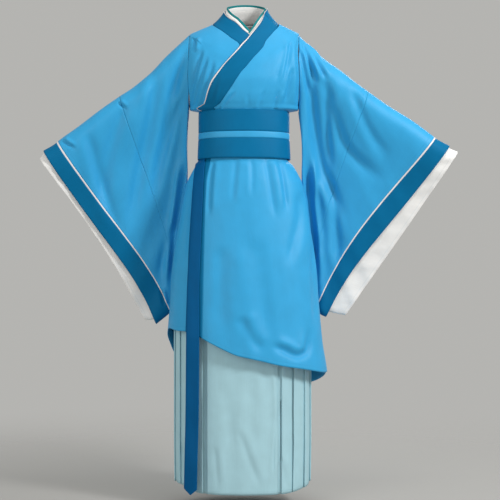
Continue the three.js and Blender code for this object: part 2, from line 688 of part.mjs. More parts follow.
addPiece('belt_upper', BAND_BLUE, SATIN, beltStrip(BELT_TOP, STRIPE_TOP));
addPiece('belt_stripe', ROBE_BLUE, SATIN, beltStrip(STRIPE_TOP - SEAM, STRIPE_BOTTOM));
addPiece('belt_lower', BAND_BLUE, SATIN, beltStrip(STRIPE_BOTTOM - SEAM, BELT_BOTTOM));

// The streamer hangs down the robe and, past the hem, straight down to its point.
const STREAMER_ROWS = table(['z', 'middleX', 'width'], [
  [-372, -116, 26], [-385, -117, 26], [-402, -119, 27], [-432, -122, 28], [-500, -126, 30],
  [-612, -131, 31], [-760, -137, 33], [-890, -138, 35], [-1056, -139, 36], [-1200, -142, 36],
  [-1300, -144, 36], [-1315, -144, 4],
]);
addPiece('streamer', BAND_BLUE, SATIN, wall(STREAMER_ROWS.length, 3, STREAMER, ROBE_CLOTH, (i, j, out) => {
  const row = STREAMER_ROWS[i];
  const held = Math.max(row.z, -880);
  const angle = angleAtX(row.middleX + (1 - j) * row.width / 2, held, OVERLAP);
  return figure(angle, held, out).setZ(row.z);
}));

// ---- Pleated skirt ----

const SKIRT_HEM = table(['degrees', 'z'], [
  [-180, -1299], [-165, -1297], [-120, -1308], [-90, -1312], [-60, -1308], [-15, -1292], [0, -1292],
  [20, -1302], [44, -1312], [60, -1316], [90, -1316], [123, -1314], [140, -1300], [165, -1294], [180, -1299],
]);
const skirtHem = curve(SKIRT_HEM, 'degrees', 'z');
const SKIRT_LEVELS = [WAISTBAND_BOTTOM - SEAM, BELT_BOTTOM, ...FLARE_LEVELS];
const SKIRT_ROWS = SKIRT_LEVELS.length + HEM_SHARES.length;

// Knife pleats of a side: each rises to its folded edge and drops back under it.
const PLEATS = table(['start', 'fold', 'depth'], [
  [-43, -30, 8], [-27, -12, 7], [-9, 8, 7], [11, 27, 8], [30, 45, 8],
]);
const SIDE_COLUMNS = PLEATS.flatMap((pleat) => [
  { degrees: pleat.start, rise: -pleat.depth / 2 }, { degrees: pleat.fold, rise: pleat.depth / 2 },
]).concat([{ degrees: 47.8, rise: -3 }]);

// The front and the back are plain panels with one knife pleat at each side, next to the side's seam:
// degrees from the panel's middle, and rise.
const FRONT_HALF = table(['degrees', 'rise'], [[41.8, -3], [32, 3], [29.7, -3], [28.1, 2], [14, 2]]);
const BACK_HALF = table(['degrees', 'rise'], [[46.8, -3.5], [44, 3.5], [32.9, -3.5], [31.3, 2], [15.5, 2]]);

// A point of the skirt, whose relief grows from nothing at the waistband to its full depth lower down.
function skirtPoint(degrees, row, relief, out) {
  const facing = degrees > 180 ? degrees - 360 : degrees;
  const level = rowLevel(SKIRT_LEVELS, row, facing * DEGREE, skirtHem);
  return skirtForm(degrees * DEGREE, level, out + relief * ease((BELT_BOTTOM - level) / 300));
}

addPiece('skirt_waistband', AQUA, MATTE, waistStrip(SKIRT_TOP, WAISTBAND_BOTTOM, SKIRT_WAIST, SKIRT_CLOTH));

function addSkirtPanel(name, columns) {
  addPiece(name, AQUA, MATTE, wall(SKIRT_ROWS, columns.length, 0, SKIRT_CLOTH, (i, j, out) => (
    skirtPoint(columns[j].degrees, i, columns[j].rise, out))));
}

for (const [name, middle, half] of [['skirt_front', 90, FRONT_HALF], ['skirt_back', 270, BACK_HALF]]) {
  const one = half.map(({ degrees, rise }) => ({ degrees: middle - degrees, rise }));
  const other = half.map(({ degrees, rise }) => ({ degrees: middle + degrees, rise })).reverse();
  addSkirtPanel(name, [...one, { degrees: middle, rise: 2 }, ...other]);
}
addSkirtPanel('skirt_side_left', SIDE_COLUMNS);
addSkirtPanel('skirt_side_right', SIDE_COLUMNS.map(
  ({ degrees, rise }) => ({ degrees: 180 - degrees, rise })));

export default costume;
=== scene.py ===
import math

import bmesh
import bpy
import numpy as np
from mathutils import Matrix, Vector


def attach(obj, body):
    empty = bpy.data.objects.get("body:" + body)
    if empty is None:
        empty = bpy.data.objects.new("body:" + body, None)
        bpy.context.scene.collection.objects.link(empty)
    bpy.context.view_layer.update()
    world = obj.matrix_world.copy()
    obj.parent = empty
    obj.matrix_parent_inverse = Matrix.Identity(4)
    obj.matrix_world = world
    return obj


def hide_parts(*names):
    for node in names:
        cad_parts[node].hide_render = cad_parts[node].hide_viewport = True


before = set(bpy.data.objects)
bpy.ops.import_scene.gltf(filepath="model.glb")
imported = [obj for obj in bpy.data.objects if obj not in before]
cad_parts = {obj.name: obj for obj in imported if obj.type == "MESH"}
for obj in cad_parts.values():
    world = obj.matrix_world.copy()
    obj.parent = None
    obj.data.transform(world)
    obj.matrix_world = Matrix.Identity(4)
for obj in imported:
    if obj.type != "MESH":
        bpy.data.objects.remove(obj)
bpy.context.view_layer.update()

# ---- Robe back ----
# The back of the outer robe is one panel of smooth polyester satin, cut from the nape to the hem.
# It is sewn to the fronts at the shoulders and down the sides, and to the collar band at the nape.

MM = 0.001
SATIN_CLOTH = 1.3
SEAM = 0.3
ROBE_INSIDE = 6.0
SHOULDER_LEVEL = -36.0
UNDERARM_LEVEL = -243.0
NECKLINE_LEVEL = -6.0
ARMHOLE_X = 148.0
ROUNDNESS = 2.2
BULGE_POWER = 8

# The general figure that the cloth hangs on: level, centre, half width, bulge, front, back, and the
# heights of the ring's front and back where they aren't its level.
FIGURE_RINGS = [
    (58, 6, 48, 0, 42, 44, 22, 68),
    (29, 6, 57, 0, 45, 47, -6, 46),
    (10, 6, 70, 0, 51, 54, -26, 28),
    (-6, 5, 87, 0, 59, 61, -43, 8),
    (-20, 2, 116, 0, 72, 72, -66, -12),
    (-36, 0, 147.7, 0, 84, 83, -94, -40),
    (-62, 0, 161, 0, 92, 90, -116, -74),
    (-100, 0, 167, 0, 98, 94, -140, -108),
    (-150, 0, 161, 4, 102, 95, -168, -153),
    (-195, 0, 147, 12, 99, 92, -200, -196),
    (-225, 0, 132, 20, 93, 88, -227, -226),
    (-235, 0, 127, 20.7, 89, 84, -236, -235),
    (-243, 0, 127, 20.7, 86, 82),
    (-250, 0, 113, 1, 83, 79),
    (-262, 0, 110.5, 0, 80.5, 76.5),
    (-385, 0, 114.5, 0, 84, 84),
    (-402, 0, 130, 0, 90, 92),
    (-432, 0, 147, 0, 97, 100),
    (-453, 0, 157, 0, 101, 105),
    (-570, 0, 178, 0, 114, 118),
    (-698, 0, 197, 0, 126, 130),
    (-789, 0, 203, 0, 133, 137),
    (-898, 0, 213, 0, 141, 145),
    (-983, 0, 228, 0, 148, 151),
    (-1060, 0, 234, 0, 153, 156),
]
BACK_HEM = [
    (180, -880), (195, -906), (210, -944), (240, -1008), (270, -1040), (300, -1045), (320, -1031),
    (345, -1005), (360, -987),
]


def mix(a, b, share):
    return a + (b - a) * share


def ease(value):
    held = np.clip(value, 0.0, 1.0)
    return held * held * (3.0 - 2.0 * held)


def smooth_step(t, width, start, end, start_slope, end_slope):
    """The value at share t of a step between two values that have these slopes."""
    leaving = (2 * t**3 - 3 * t**2 + 1) * start + (t**3 - 2 * t**2 + t) * width * start_slope
    return leaving + ((3 * t**2 - 2 * t**3) * end + (t**3 - t**2) * width * end_slope)


def smooth_curve(pairs):
    """A curve through (place, value) pairs that never swings past them."""
    x = np.array([pair[0] for pair in sorted(pairs)], float)
    y = np.array([pair[1] for pair in sorted(pairs)], float)
    rise = np.diff(y) / np.diff(x)
    slope = np.concatenate([rise[:1], np.zeros(len(x) - 2), rise[-1:]])
    agree = rise[:-1] * rise[1:] > 0
    total = np.where(agree, rise[:-1] + rise[1:], 1.0)
    slope[1:-1] = np.where(agree, 2.0 * rise[:-1] * rise[1:] / total, 0.0)

    def read(at):
        place = np.clip(at, x[0], x[-1])
        i = np.clip(np.searchsorted(x, place, side="right") - 1, 0, len(x) - 2)
        width = x[i + 1] - x[i]
        return smooth_step((place - x[i]) / width, width, y[i], y[i + 1], slope[i], slope[i + 1])

    return read


def ringed_form(rings):
    """Rules for a form's reach along X and for its points: angle 0 is +X and 90 degrees the front."""
    rings = [ring if len(ring) == 8 else (*ring, ring[0], ring[0]) for ring in rings]
    read = [smooth_curve([(ring[0], ring[column]) for ring in rings]) for column in range(8)]
    _, centre, half_width, bulge, front, back, front_height, back_height = read

    def x_at(angle, level, out):
        across = np.cos(angle)
        reach = np.abs(across) ** (2 / ROUNDNESS) * (half_width(level) + out)
        reach = reach + np.abs(across) ** BULGE_POWER * bulge(level)
        return centre(level) + np.sign(across) * reach

    def point_at(angle, level, out):
        angle, level, out = np.broadcast_arrays(
            np.asarray(angle, float), np.asarray(level, float), np.asarray(out, float))
        through = np.abs(np.sin(angle))
        is_front = np.sin(angle) >= 0
        depth = np.where(is_front, front(level), back(level)) + out
        middle = np.where(is_front, front_height(level), back_height(level))
        y = np.where(is_front, -1, 1) * through ** (2 / ROUNDNESS) * depth
        z = mix(level, middle, through**1.5) + out * ease((level + 150) / 90)
        return np.stack([x_at(angle, level, out), y, z], axis=-1)

    return x_at, point_at, half_width


figure_x, figure, figure_width = ringed_form(FIGURE_RINGS)


def angle_at_x(x, level, out):
    """The angle, from 0 to half a turn, at which a ring of the figure reaches x."""
    x, level = np.broadcast_arrays(np.asarray(x, float), np.asarray(level, float))
    low = np.zeros(x.shape)
    high = np.full(x.shape, math.pi)
    for _ in range(40):
        middle = (low + high) / 2
        beyond = figure_x(middle, level, out) > x
        low = np.where(beyond, middle, low)
        high = np.where(beyond, high, middle)
    return (low + high) / 2


def nested_level(level, out):
    """Under the arms an inner layer sits higher than an outer one."""
    share = (level - SHOULDER_LEVEL) / (UNDERARM_LEVEL - SHOULDER_LEVEL)
    raised = level + (ROBE_INSIDE + SATIN_CLOTH - out) * share
    return np.where((share < 0) | (share > 1), level, raised)


def side_turn(level, out):
    """How far a body panel's side edge is turned from the side line, at the armhole and below it."""
    at_armhole = (level < SHOULDER_LEVEL) & (level > nested_level(UNDERARM_LEVEL, out))
    seam = np.arcsin((SEAM / 2 / (figure_width(level) * 0.6)) ** (ROUNDNESS / 2))
    return np.where(at_armhole, angle_at_x(ARMHOLE_X + out - SEAM, level, out), seam)


# Rows of a body panel: (from level, to level, steps), then steps below the belt to the hem.
BODY_ROWS = [(-36, -60, 8), (-60, -226, 36), (-226, -262, 12), (-262, -385, 12), (-385, -432, 14)]
HEM_STEPS = 110
BELOW_BELT = -432.0


def body_levels(first, rows, steps_to_first=6):
    levels = list(np.linspace(first, rows[0][0], steps_to_first, endpoint=False))
    for start, end, steps in rows:
        levels += list(np.linspace(start, end, steps, endpoint=False))
    return np.array(levels + [rows[-1][1]], float)


def row_level(levels, angle, hem):
    """The level of every point of a panel: its listed levels, then shares of the way to the hem."""
    listed = np.broadcast_to(levels[:, None], (len(levels), angle.shape[1]))
    shares = np.linspace(0, 1, HEM_STEPS + 1)[1:, None]
    ends = hem(np.degrees(angle[len(levels):]))
    return np.concatenate([listed, mix(BELOW_BELT, ends, shares)])


def run_along(points, axis):
    """How far each point of a grid is down its column (0) or along its row (1)."""
    run = np.zeros(points.shape[:2])
    ahead = (slice(1, None),) if axis == 0 else (slice(None), slice(1, None))
    run[ahead] = np.cumsum(np.linalg.norm(np.diff(points, axis=axis), axis=2), axis=axis)
    return run


def grid_normals(points):
    """Unit normals of a grid of points, on the side that its rows and columns turn to."""
    along = np.gradient(points, axis=0)
    across = np.gradient(points, axis=1)
    normal = np.cross(across, along)
    length = np.linalg.norm(normal, axis=-1, keepdims=True)
    return normal / np.maximum(length, 1e-9)


def outward(points, centre):
    """The same grid with its columns turned round if its normals look at the centre line."""
    facing = (grid_normals(points) * (points - centre)).sum(axis=-1).mean()
    return points if facing > 0 else points[:, ::-1]


# Folds are lines seen from the front, in X and Z. A line's trough has a half width and a depth, and its
# bank, as a share of that depth, stands on the line's left (+) or right (-) as it is followed down. A
# bank lies this many half widths aside and is this much wider, and a fold fades out over two shares.
BANK_ASIDE = 1.9
BANK_WIDER = 1.3
FADE_AT_START = 0.18
FADE_AT_END = 0.3


def fold_relief(x, z, line, width, depth, bank):
    path = np.array(line, float)
    run = np.concatenate([[0], np.cumsum(np.linalg.norm(np.diff(path, axis=0), axis=1))])
    places = np.linspace(0, run[-1], 4 * len(path))
    path = np.stack([smooth_curve(list(zip(run, path[:, i])))(places) for i in (0, 1)], axis=-1)
    nearest = np.full(x.shape, 1e9)
    aside = np.zeros(x.shape)
    share = np.zeros(x.shape)
    for i, ((x0, z0), (x1, z1)) in enumerate(zip(path[:-1], path[1:])):
        dx, dz = x1 - x0, z1 - z0
        t = np.clip(((x - x0) * dx + (z - z0) * dz) / (dx * dx + dz * dz), 0, 1)
        px, pz = x - (x0 + t * dx), z - (z0 + t * dz)
        distance = np.hypot(px, pz)
        closer = distance < nearest
        nearest = np.where(closer, distance, nearest)
        aside = np.where(closer, np.sign(px * dz - pz * dx) * -distance, aside)
        share = np.where(closer, (i + t) / (len(path) - 1), share)
    fade = ease(share / FADE_AT_START) * ease((1 - share) / FADE_AT_END)
    trough = np.exp(-((aside / width) ** 2))
    ridge = np.exp(-(((aside - BANK_ASIDE * math.copysign(width, bank)) / (BANK_WIDER * width)) ** 2))
    return depth * fade * (abs(bank) * ridge - trough)


def pressed(points, folds, side=-1, strength=1.0):
    """The grid moved along its normals by the folds, on the half that faces the front (-1) or back (1)."""
    normal = grid_normals(points)
    weight = ease(normal[..., 1] * side / 0.45) * strength
    relief = np.zeros(points.shape[:2])
    for line, width, depth, bank in folds:
        relief += fold_relief(points[..., 0], points[..., 2], line, width, depth, bank)
    return points + normal * (relief * weight)[..., None]


def ripples(across, down, across_length, down_length, seed):
    """A soft uneven field between about -1 and 1, stretched down the cloth."""
    chance = np.random.default_rng(seed)
    total = np.zeros(np.broadcast(across, down).shape)
    for octave in (1.0, 1.0, 1.0, 1.7, 1.7, 2.6):
        tilt = chance.uniform(-0.6, 0.6)
        phase = chance.uniform(0, 2 * math.pi)
        wave = across / across_length * chance.uniform(0.7, 1.2) * octave
        wave = wave + down / down_length * tilt * octave
        total += np.sin(2 * math.pi * wave + phase) / octave
    return total / 4.2


def cloth_piece(name, points, thickness, material, tube=False, edge=None, node=None):
    """A bmesh grid carried to its places, with its grain as a UV map and its wall from Solidify."""
    rows, columns = points.shape[:2]
    run_down, run_across = run_along(points, 0), run_along(points, 1)
    run_across -= run_across.mean(axis=1, keepdims=True)
    hem_distance = (run_down[-1:] - run_down) if edge is None else edge
    mesh = bpy.data.meshes.new(name)
    bm = bmesh.new()
    bmesh.ops.create_grid(bm, x_segments=columns - 1, y_segments=rows - 1, size=1)
    grain = bm.loops.layers.uv.new("grain")
    from_edge = bm.verts.layers.float.new("from_edge")
    place = {}
    for vertex in bm.verts:
        i = round((1 - vertex.co.y) / 2 * (rows - 1))
        j = round((1 - vertex.co.x) / 2 * (columns - 1))
        place[vertex.index] = (i, j)
        vertex[from_edge] = hem_distance[i, j] * MM
    for face in bm.faces:
        face.smooth = True
        for loop in face.loops:
            i, j = place[loop.vert.index]
            loop[grain].uv = (run_across[i, j] * MM, run_down[i, j] * MM)
    for vertex in bm.verts:
        vertex.co = Vector(points[place[vertex.index]] * MM)
    if tube:
        bmesh.ops.remove_doubles(bm, verts=bm.verts, dist=1e-6)
    bm.to_mesh(mesh)
    bm.free()
    piece = bpy.data.objects.new(name.replace(" ", "-"), mesh)
    bpy.context.scene.collection.objects.link(piece)
    wall = piece.modifiers.new("wall", "SOLIDIFY")
    wall.thickness = thickness * MM
    wall.offset = -1
    # It goes where the costume goes and stands for the solid of the same name.
    mesh.materials.append(material)
    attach(piece, "root")
    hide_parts(node or name.replace(" ", "_"))
    return piece


def add_node(tree, kind, inputs=None, **settings):
    """A new node with its settings; each listed input gets a value or another node's output."""
    node = tree.nodes.new("ShaderNode" + kind)
    for setting, value in settings.items():
        setattr(node, setting, value)
    for key, value in (inputs or {}).items():
        if isinstance(value, bpy.types.NodeSocket):
            tree.links.new(value, node.inputs[key])
        else:
            node.inputs[key].default_value = value
    return node


def calculate(tree, operation, *values):
    return add_node(tree, "Math", dict(enumerate(values)), operation=operation).outputs[0]


def new_group(name, taken, given):
    """An empty group of nodes, with what it takes and what it gives by name and kind of socket."""
    tree = bpy.data.node_groups.new(name, "ShaderNodeTree")
    for way, sockets in (("INPUT", taken), ("OUTPUT", given)):
        for label, kind in sockets.items():
            tree.interface.new_socket(label, in_out=way, socket_type="NodeSocket" + kind)
    return tree, tree.nodes.new("NodeGroupInput").outputs, tree.nodes.new("NodeGroupOutput").inputs


# How strongly the handling marks and the slubs in the thread show in colour and gloss, and how far the
# weft and the weave stand up.
MARKS_IN_COLOUR = 0.16
MARKS_IN_GLOSS = 0.12
SLUBS_IN_COLOUR = 0.1
SLUB_SCALE = (700, 14, 1)
WEFT_SHARE = 0.4
WEAVE_HEIGHT = 0.05


def woven_group():
    """Satin weave and handling marks: takes a colour and thread size, gives colour, gloss and height."""
    tree, taken, given = new_group(
        "woven cloth", {"Colour": "Color", "Threads": "Float", "Crumple": "Float", "Gloss": "Float"},
        {"Colour": "Color", "Roughness": "Float", "Height": "Float"})
    grain = add_node(tree, "TexCoord").outputs["UV"]
    apart = add_node(tree, "SeparateXYZ", {0: grain}).outputs

    def noise(place, **settings):
        return add_node(tree, "TexNoise", {"Vector": place, **settings}).outputs["Fac"]

    def times(value, share):
        return calculate(tree, "MULTIPLY", value, share)

    def plus(value, more):
        return calculate(tree, "ADD", value, more)

    warp = calculate(tree, "SINE", times(apart["X"], taken["Threads"]))
    weft = calculate(tree, "SINE", times(apart["Y"], taken["Threads"]))
    weave = times(plus(warp, times(weft, WEFT_SHARE)), 0.5)
    marks = calculate(tree, "SUBTRACT", noise(grain, Scale=22, Detail=3), 0.5)
    drawn_out = add_node(tree, "Mapping", {"Vector": grain, "Scale": SLUB_SCALE}).outputs[0]
    slubs = calculate(tree, "SUBTRACT", noise(drawn_out, Scale=1), 0.5)
    lighter = plus(times(marks, MARKS_IN_COLOUR), times(slubs, SLUBS_IN_COLOUR))
    shade = add_node(tree, "HueSaturation", {"Color": taken["Colour"], "Value": plus(lighter, 1.0)})
    soft = times(noise(grain, Scale=38, Detail=4), taken["Crumple"])
    tree.links.new(shade.outputs[0], given["Colour"])
    tree.links.new(plus(times(marks, MARKS_IN_GLOSS), taken["Gloss"]), given["Roughness"])
    tree.links.new(plus(soft, times(weave, WEAVE_HEIGHT)), given["Height"])
    return tree


# Half the width of a row of stitches, how far it sinks in and how dark it is.
STITCH_HALF_WIDTH = 0.0006
STITCH_SUNK = -0.5
STITCH_DARK = 0.55
STITCH_SHADE = (0.8, 0.84, 0.88, 1)


def stitch_group():
    """A row of stitches at a distance from the finished edge: gives their mask."""
    tree, taken, given = new_group("stitch row", {"Distance": "Float"}, {"Mask": "Float"})
    from_edge = add_node(tree, "Attribute", attribute_name="from_edge").outputs["Fac"]
    near = calculate(tree, "COMPARE", from_edge, taken["Distance"], STITCH_HALF_WIDTH)
    tree.links.new(near, given["Mask"])
    return tree


WOVEN = woven_group()
STITCHES = stitch_group()


def woven_cloth(name, colour, gloss, shine=0.25, crumple=0.5, stitch=0.0, threads=0.4):
    """A dyed woven cloth; gloss is its roughness and threads their spacing in millimetres."""
    material = bpy.data.materials.new(name)
    material.use_nodes = True
    tree = material.node_tree
    shader = tree.nodes["Principled BSDF"].inputs
    shader["Sheen Weight"].default_value = 0.15 * shine
    shader["Sheen Roughness"].default_value = 0.4
    shader["Specular IOR Level"].default_value = shine
    dyed = {"Colour": (*colour, 1), "Crumple": crumple, "Gloss": gloss}
    dyed["Threads"] = 2 * math.pi / (threads * MM)
    cloth = add_node(tree, "Group", dyed, node_tree=WOVEN).outputs
    row = add_node(tree, "Group", {"Distance": stitch}, node_tree=STITCHES).outputs["Mask"]
    height = calculate(tree, "MULTIPLY_ADD", row, STITCH_SUNK if stitch else 0.0, cloth["Height"])
    bump = add_node(tree, "Bump", {"Strength": 0.35, "Distance": 0.002, "Height": height})
    shown = calculate(tree, "MULTIPLY", row, STITCH_DARK if stitch else 0.0)
    darker = add_node(tree, "Mix", {"Factor": shown, "A": cloth["Colour"], "B": STITCH_SHADE},
                      data_type="RGBA", blend_type="MULTIPLY")
    tree.links.new(darker.outputs["Result"], shader["Base Color"])
    tree.links.new(cloth["Roughness"], shader["Roughness"])
    tree.links.new(bump.outputs[0], shader["Normal"])
    return material


robe_satin = woven_cloth("sky blue satin", (0.031, 0.36, 0.68), 0.48, shine=0.28, stitch=0.012)

# Folds of the robe as it is worn, on the body and the sleeves: (line, half width, depth, bank).
FRONT_FOLDS = [
    ([(-137, -42), (-139, -66), (-142, -88)], 5, 3.2, 0.8),
    ([(-160, -62), (-178, -120), (-193, -171), (-235, -330), (-283, -516)], 13, 4.0, 0.6),
    ([(-166, -188), (-193, -252), (-229, -364), (-265, -520)], 11, 3.5, -0.6),
    ([(-100, -96), (-122, -169), (-146, -258)], 6, 2.6, 0.7),
    ([(-83, -110), (-105, -192), (-128, -262)], 7, 2.4, 0.7),
    ([(-114, -77), (-134, -144), (-158, -245)], 6, 3.0, 0.7),
    ([(-70, -150), (-84, -205), (-96, -250)], 6, 2.0, 0.6),
    ([(-166, -372), (-181, -474), (-206, -641), (-214, -783)], 8, 4.2, -0.8),
    ([(-355, -222), (-344, -234), (-330, -243)], 4, 1.8, 0.8),
    ([(-514, -330), (-494, -344), (-475, -354)], 4, 1.8, 0.8),
    ([(-240, -752), (-236, -780), (-230, -806)], 4, 3.0, 0.7),
    ([(-330, -215), (-372, -330), (-398, -430), (-412, -520)], 16, 2.6, 0.5),
    ([(-240, -130), (-262, -260), (-300, -420), (-330, -600)], 15, 3.0, -0.5),
    ([(-205, -560), (-232, -660), (-250, -730)], 11, 3.0, 0.5),
    ([(-440, -300), (-420, -400), (-390, -500), (-350, -610)], 14, 2.2, -0.5),
    ([(147, -34), (151, -90), (153, -152), (153, -270)], 7, 2.6, -0.7),
    ([(165, -46), (183, -107), (208, -178)], 7, 3.2, 0.7),
    ([(178, -56), (205, -112), (238, -168)], 6, 2.4, 0.6),
    ([(158, -70), (168, -130), (186, -215)], 6, 2.8, 0.6),
    ([(174, -72), (197, -251), (219, -386), (269, -498), (313, -584)], 14, 4.2, -0.6),
    ([(219, -139), (252, -250), (287, -341), (368, -422), (421, -454)], 13, 2.4, 0.5),
    ([(186, -372), (190, -500), (202, -610), (207, -755)], 8, 4.2, 0.8),
    ([(300, -180), (352, -300), (420, -392)], 12, 2.0, -0.5),
    ([(240, -420), (262, -540), (270, -650), (262, -720)], 12, 3.0, -0.5),
    ([(230, -200), (240, -330), (252, -420)], 10, 2.2, 0.6),
    ([(134, -48), (123, -112), (109, -182)], 6, 3.0, -0.7),
    ([(136, -130), (124, -196), (112, -240)], 6, 3.0, -0.7),
    ([(118, -70), (104, -130), (84, -180)], 7, 1.8, 0.5),
    ([(-82, -254), (-70, -221), (-58, -183)], 4, 2.2, 0.8),
    ([(-62, -252), (-46, -227), (-22, -202)], 4, 2.0, 0.8),
    ([(40, -254), (46, -228), (60, -196)], 5, 1.6, 0.6),
    ([(84, -254), (88, -228), (100, -192)], 5, 2.2, -0.7),
    ([(8, -254), (12, -236), (10, -206)], 5, 1.2, 0.6),
    ([(75, -900), (111, -916), (150, -932), (177, -918), (183, -849)], 10, 4.0, 0.6),
    ([(159, -470), (157, -536), (141, -614), (121, -694)], 14, 3.2, 0.5),
    ([(60, -380), (72, -450), (88, -560)], 8, 2.2, 0.6),
    ([(96, -380), (110, -440), (122, -540)], 7, 2.6, -0.6),
    ([(-20, -380), (-26, -440), (-34, -520)], 8, 1.6, 0.5),
    ([(20, -382), (24, -430), (22, -500)], 7, 1.4, -0.5),
    ([(-84, -382), (-92, -440), (-98, -560)], 7, 2.2, 0.6),
    ([(-150, -440), (-160, -560), (-172, -700)], 9, 2.4, 0.6),
    ([(196, -620), (200, -740), (206, -880)], 12, 3.2, 0.6),
    ([(-60, -620), (-70, -760), (-72, -880)], 22, 2.4, 0.5),
    ([(30, -600), (44, -760), (60, -900)], 24, 2.6, -0.5),
    ([(-10, -820), (20, -880), (60, -925)], 14, 2.4, 0.5),
]
BACK_FOLDS = [
    ([(-138, -50), (-139, -120), (-137, -240)], 6, 3.0, 0.7),
    ([(138, -50), (139, -120), (137, -240)], 6, 3.2, -0.7),
    ([(-118, -60), (-108, -130), (-88, -215)], 9, 2.6, 0.6),
    ([(116, -66), (104, -140), (82, -220)], 9, 2.8, -0.6),
    ([(-60, -90), (-52, -150), (-40, -250)], 10, 1.8, 0.6),
    ([(52, -80), (46, -160), (34, -250)], 11, 1.6, -0.6),
    ([(-90, -254), (-84, -226), (-70, -190)], 5, 2.2, 0.8),
    ([(-30, -254), (-26, -230), (-24, -200)], 5, 1.8, 0.6),
    ([(28, -254), (22, -226), (24, -196)], 5, 2.0, -0.6),
    ([(92, -254), (84, -222), (72, -188)], 5, 2.2, -0.8),
    ([(-80, -380), (-92, -460), (-110, -620)], 9, 3.0, 0.6),
    ([(-30, -382), (-34, -470), (-42, -640)], 10, 2.6, -0.6),
    ([(24, -380), (30, -450), (34, -600)], 9, 2.4, 0.6),
    ([(84, -380), (98, -480), (118, -660)], 10, 3.2, -0.6),
    ([(-150, -560), (-168, -720), (-178, -880)], 16, 3.2, 0.5),
    ([(150, -540), (172, -720), (190, -900)], 16, 3.4, -0.5),
    ([(-60, -700), (-66, -840), (-80, -960)], 20, 3.0, 0.5),
    ([(50, -720), (62, -880), (66, -1000)], 22, 3.2, -0.5),
    ([(-166, -70), (-200, -180), (-240, -340), (-280, -520)], 13, 3.6, 0.6),
    ([(-180, -190), (-220, -330), (-250, -500), (-262, -640)], 12, 3.2, -0.6),
    ([(-300, -190), (-340, -320), (-370, -470)], 15, 2.4, 0.5),
    ([(168, -74), (200, -200), (238, -360), (282, -530)], 13, 3.8, -0.6),
    ([(182, -200), (216, -340), (244, -500), (252, -650)], 12, 3.0, 0.6),
    ([(304, -176), (350, -310), (392, -440)], 15, 2.4, -0.5),
    ([(-190, -420), (-202, -560), (-212, -740)], 8, 3.4, 0.7),
    ([(190, -420), (200, -560), (208, -730)], 8, 3.4, -0.7),
]


# How much deeper than listed the folds are on the chest, on a sleeve and below the belt. The back
# hangs smoother than the front.
CHEST_DEPTH = 1.5
SLEEVE_DEPTH = 3.1
BELOW_BELT_DEPTH = 2.0
BACK_SHARE = 0.55


def folded_cloth(points, hanging, strength=1.0):
    """A grid with the folds of both sides, as deep as given where the cloth hangs free."""
    aside = ease((np.abs(points[..., 0]) - ARMHOLE_X + 2) / 50)
    down = ease((-points[..., 2] - 300) / 90)
    depth = strength * mix(mix(CHEST_DEPTH, SLEEVE_DEPTH, aside), hanging, down)
    folded = pressed(points, FRONT_FOLDS, -1, depth)
    return pressed(folded, BACK_FOLDS, 1, depth * BACK_SHARE)


def worn(points, seed, strength=1.0):
    """A body grid with its folds and a little unevenness in its hang, more towards the hem."""
    folded = folded_cloth(points, BELOW_BELT_DEPTH, strength)
    x, z = folded[..., 0], folded[..., 2]
    loose = ease((-z - 380) / 500) * ease((x**2 + folded[..., 1] ** 2) / 60**2)
    hang = ripples(x, z, 105, 520, seed) * (0.5 + 2.6 * loose)
    return folded + grid_normals(folded) * hang[..., None]


# Layers that lie on each other share one seed, so that they hang alike.
ROBE_SEED = 3
BACK_COLUMNS = 110
back_levels = body_levels(NECKLINE_LEVEL - SEAM, BODY_ROWS, 8)
back_share = np.linspace(0, 1, BACK_COLUMNS)[None, :]
back_angle = np.full((len(back_levels) + HEM_STEPS, BACK_COLUMNS), 1.5 * math.pi)
back_hem = smooth_curve(BACK_HEM)
robe_outside = ROBE_INSIDE + SATIN_CLOTH
for _ in range(5):
    back_level = nested_level(row_level(back_levels, back_angle, back_hem), robe_outside)
    back_turn = side_turn(back_level, robe_outside)
    back_angle = mix(math.pi + back_turn, 2 * math.pi - back_turn, back_share)
back_points = outward(figure(back_angle, back_level, robe_outside), (0, 0, -400))
robe_back = cloth_piece("robe back", worn(back_points, ROBE_SEED), 1.0, robe_satin)

# ---- Robe fronts ----
# The wearer's left front crosses over the right one and ends in a slanting hem; the right front lies
# under it. Both are the same satin, sewn to the back at the sides and to the collar along their edges.

COLLAR_OUT = 9.5
COLLAR_END = -300.0
FRONT_COLUMNS = 100
# The line where each collar band is sewn on and its free edge, seen from the front: X and Z of both.
OVERLAP_COLLAR = [
    (99, -5, 59, 33), (80, -34, 37, -15), (58, -66, 12, -49), (33.5, -102, -13, -79),
    (1.6, -140, -46, -117), (-34, -190, -88, -170), (-64, -232, -111, -232), (-80, -252, -117, -252),
    (-86, -300, -118, -300),
]
UNDERLAP_COLLAR = [
    (-89, -2, -60, 36), (-64, -25, -24, 2), (-39, -47, 0, -24), (-13, -70, 20, -44),
    (12, -106, 54, -82), (30, -158, 75, -140), (44, -212, 87, -208), (50, -255, 91, -255),
    (52, -300, 93, -300),
]
OVERLAP_HEM = [
    (0, -985), (13, -985), (54, -966), (67, -958), (79, -946), (93, -931), (102, -915), (111, -898),
    (121, -881), (136, -867), (160, -858),
]
UNDERLAP_HEM = [(60, -868), (145, -866), (165, -861), (180, -878)]
# The front edge band below the belt: level, X of its free edge, X of its seam.
EDGE_BAND = [(-300, -118, -86), (-385, -123, -92), (-453, -139, -104), (-612, -150, -110), (-866, -160, -115)]


def on_front(x, z, out):
    """The angle and level of the point of the figure's front that is seen at x and z."""
    level = np.asarray(z, float)
    angle = np.zeros(level.shape)
    for _ in range(60):
        angle = angle_at_x(x, level, out)
        level = level - 0.5 * (figure(angle, level, out)[..., 2] - z)
    return angle, level


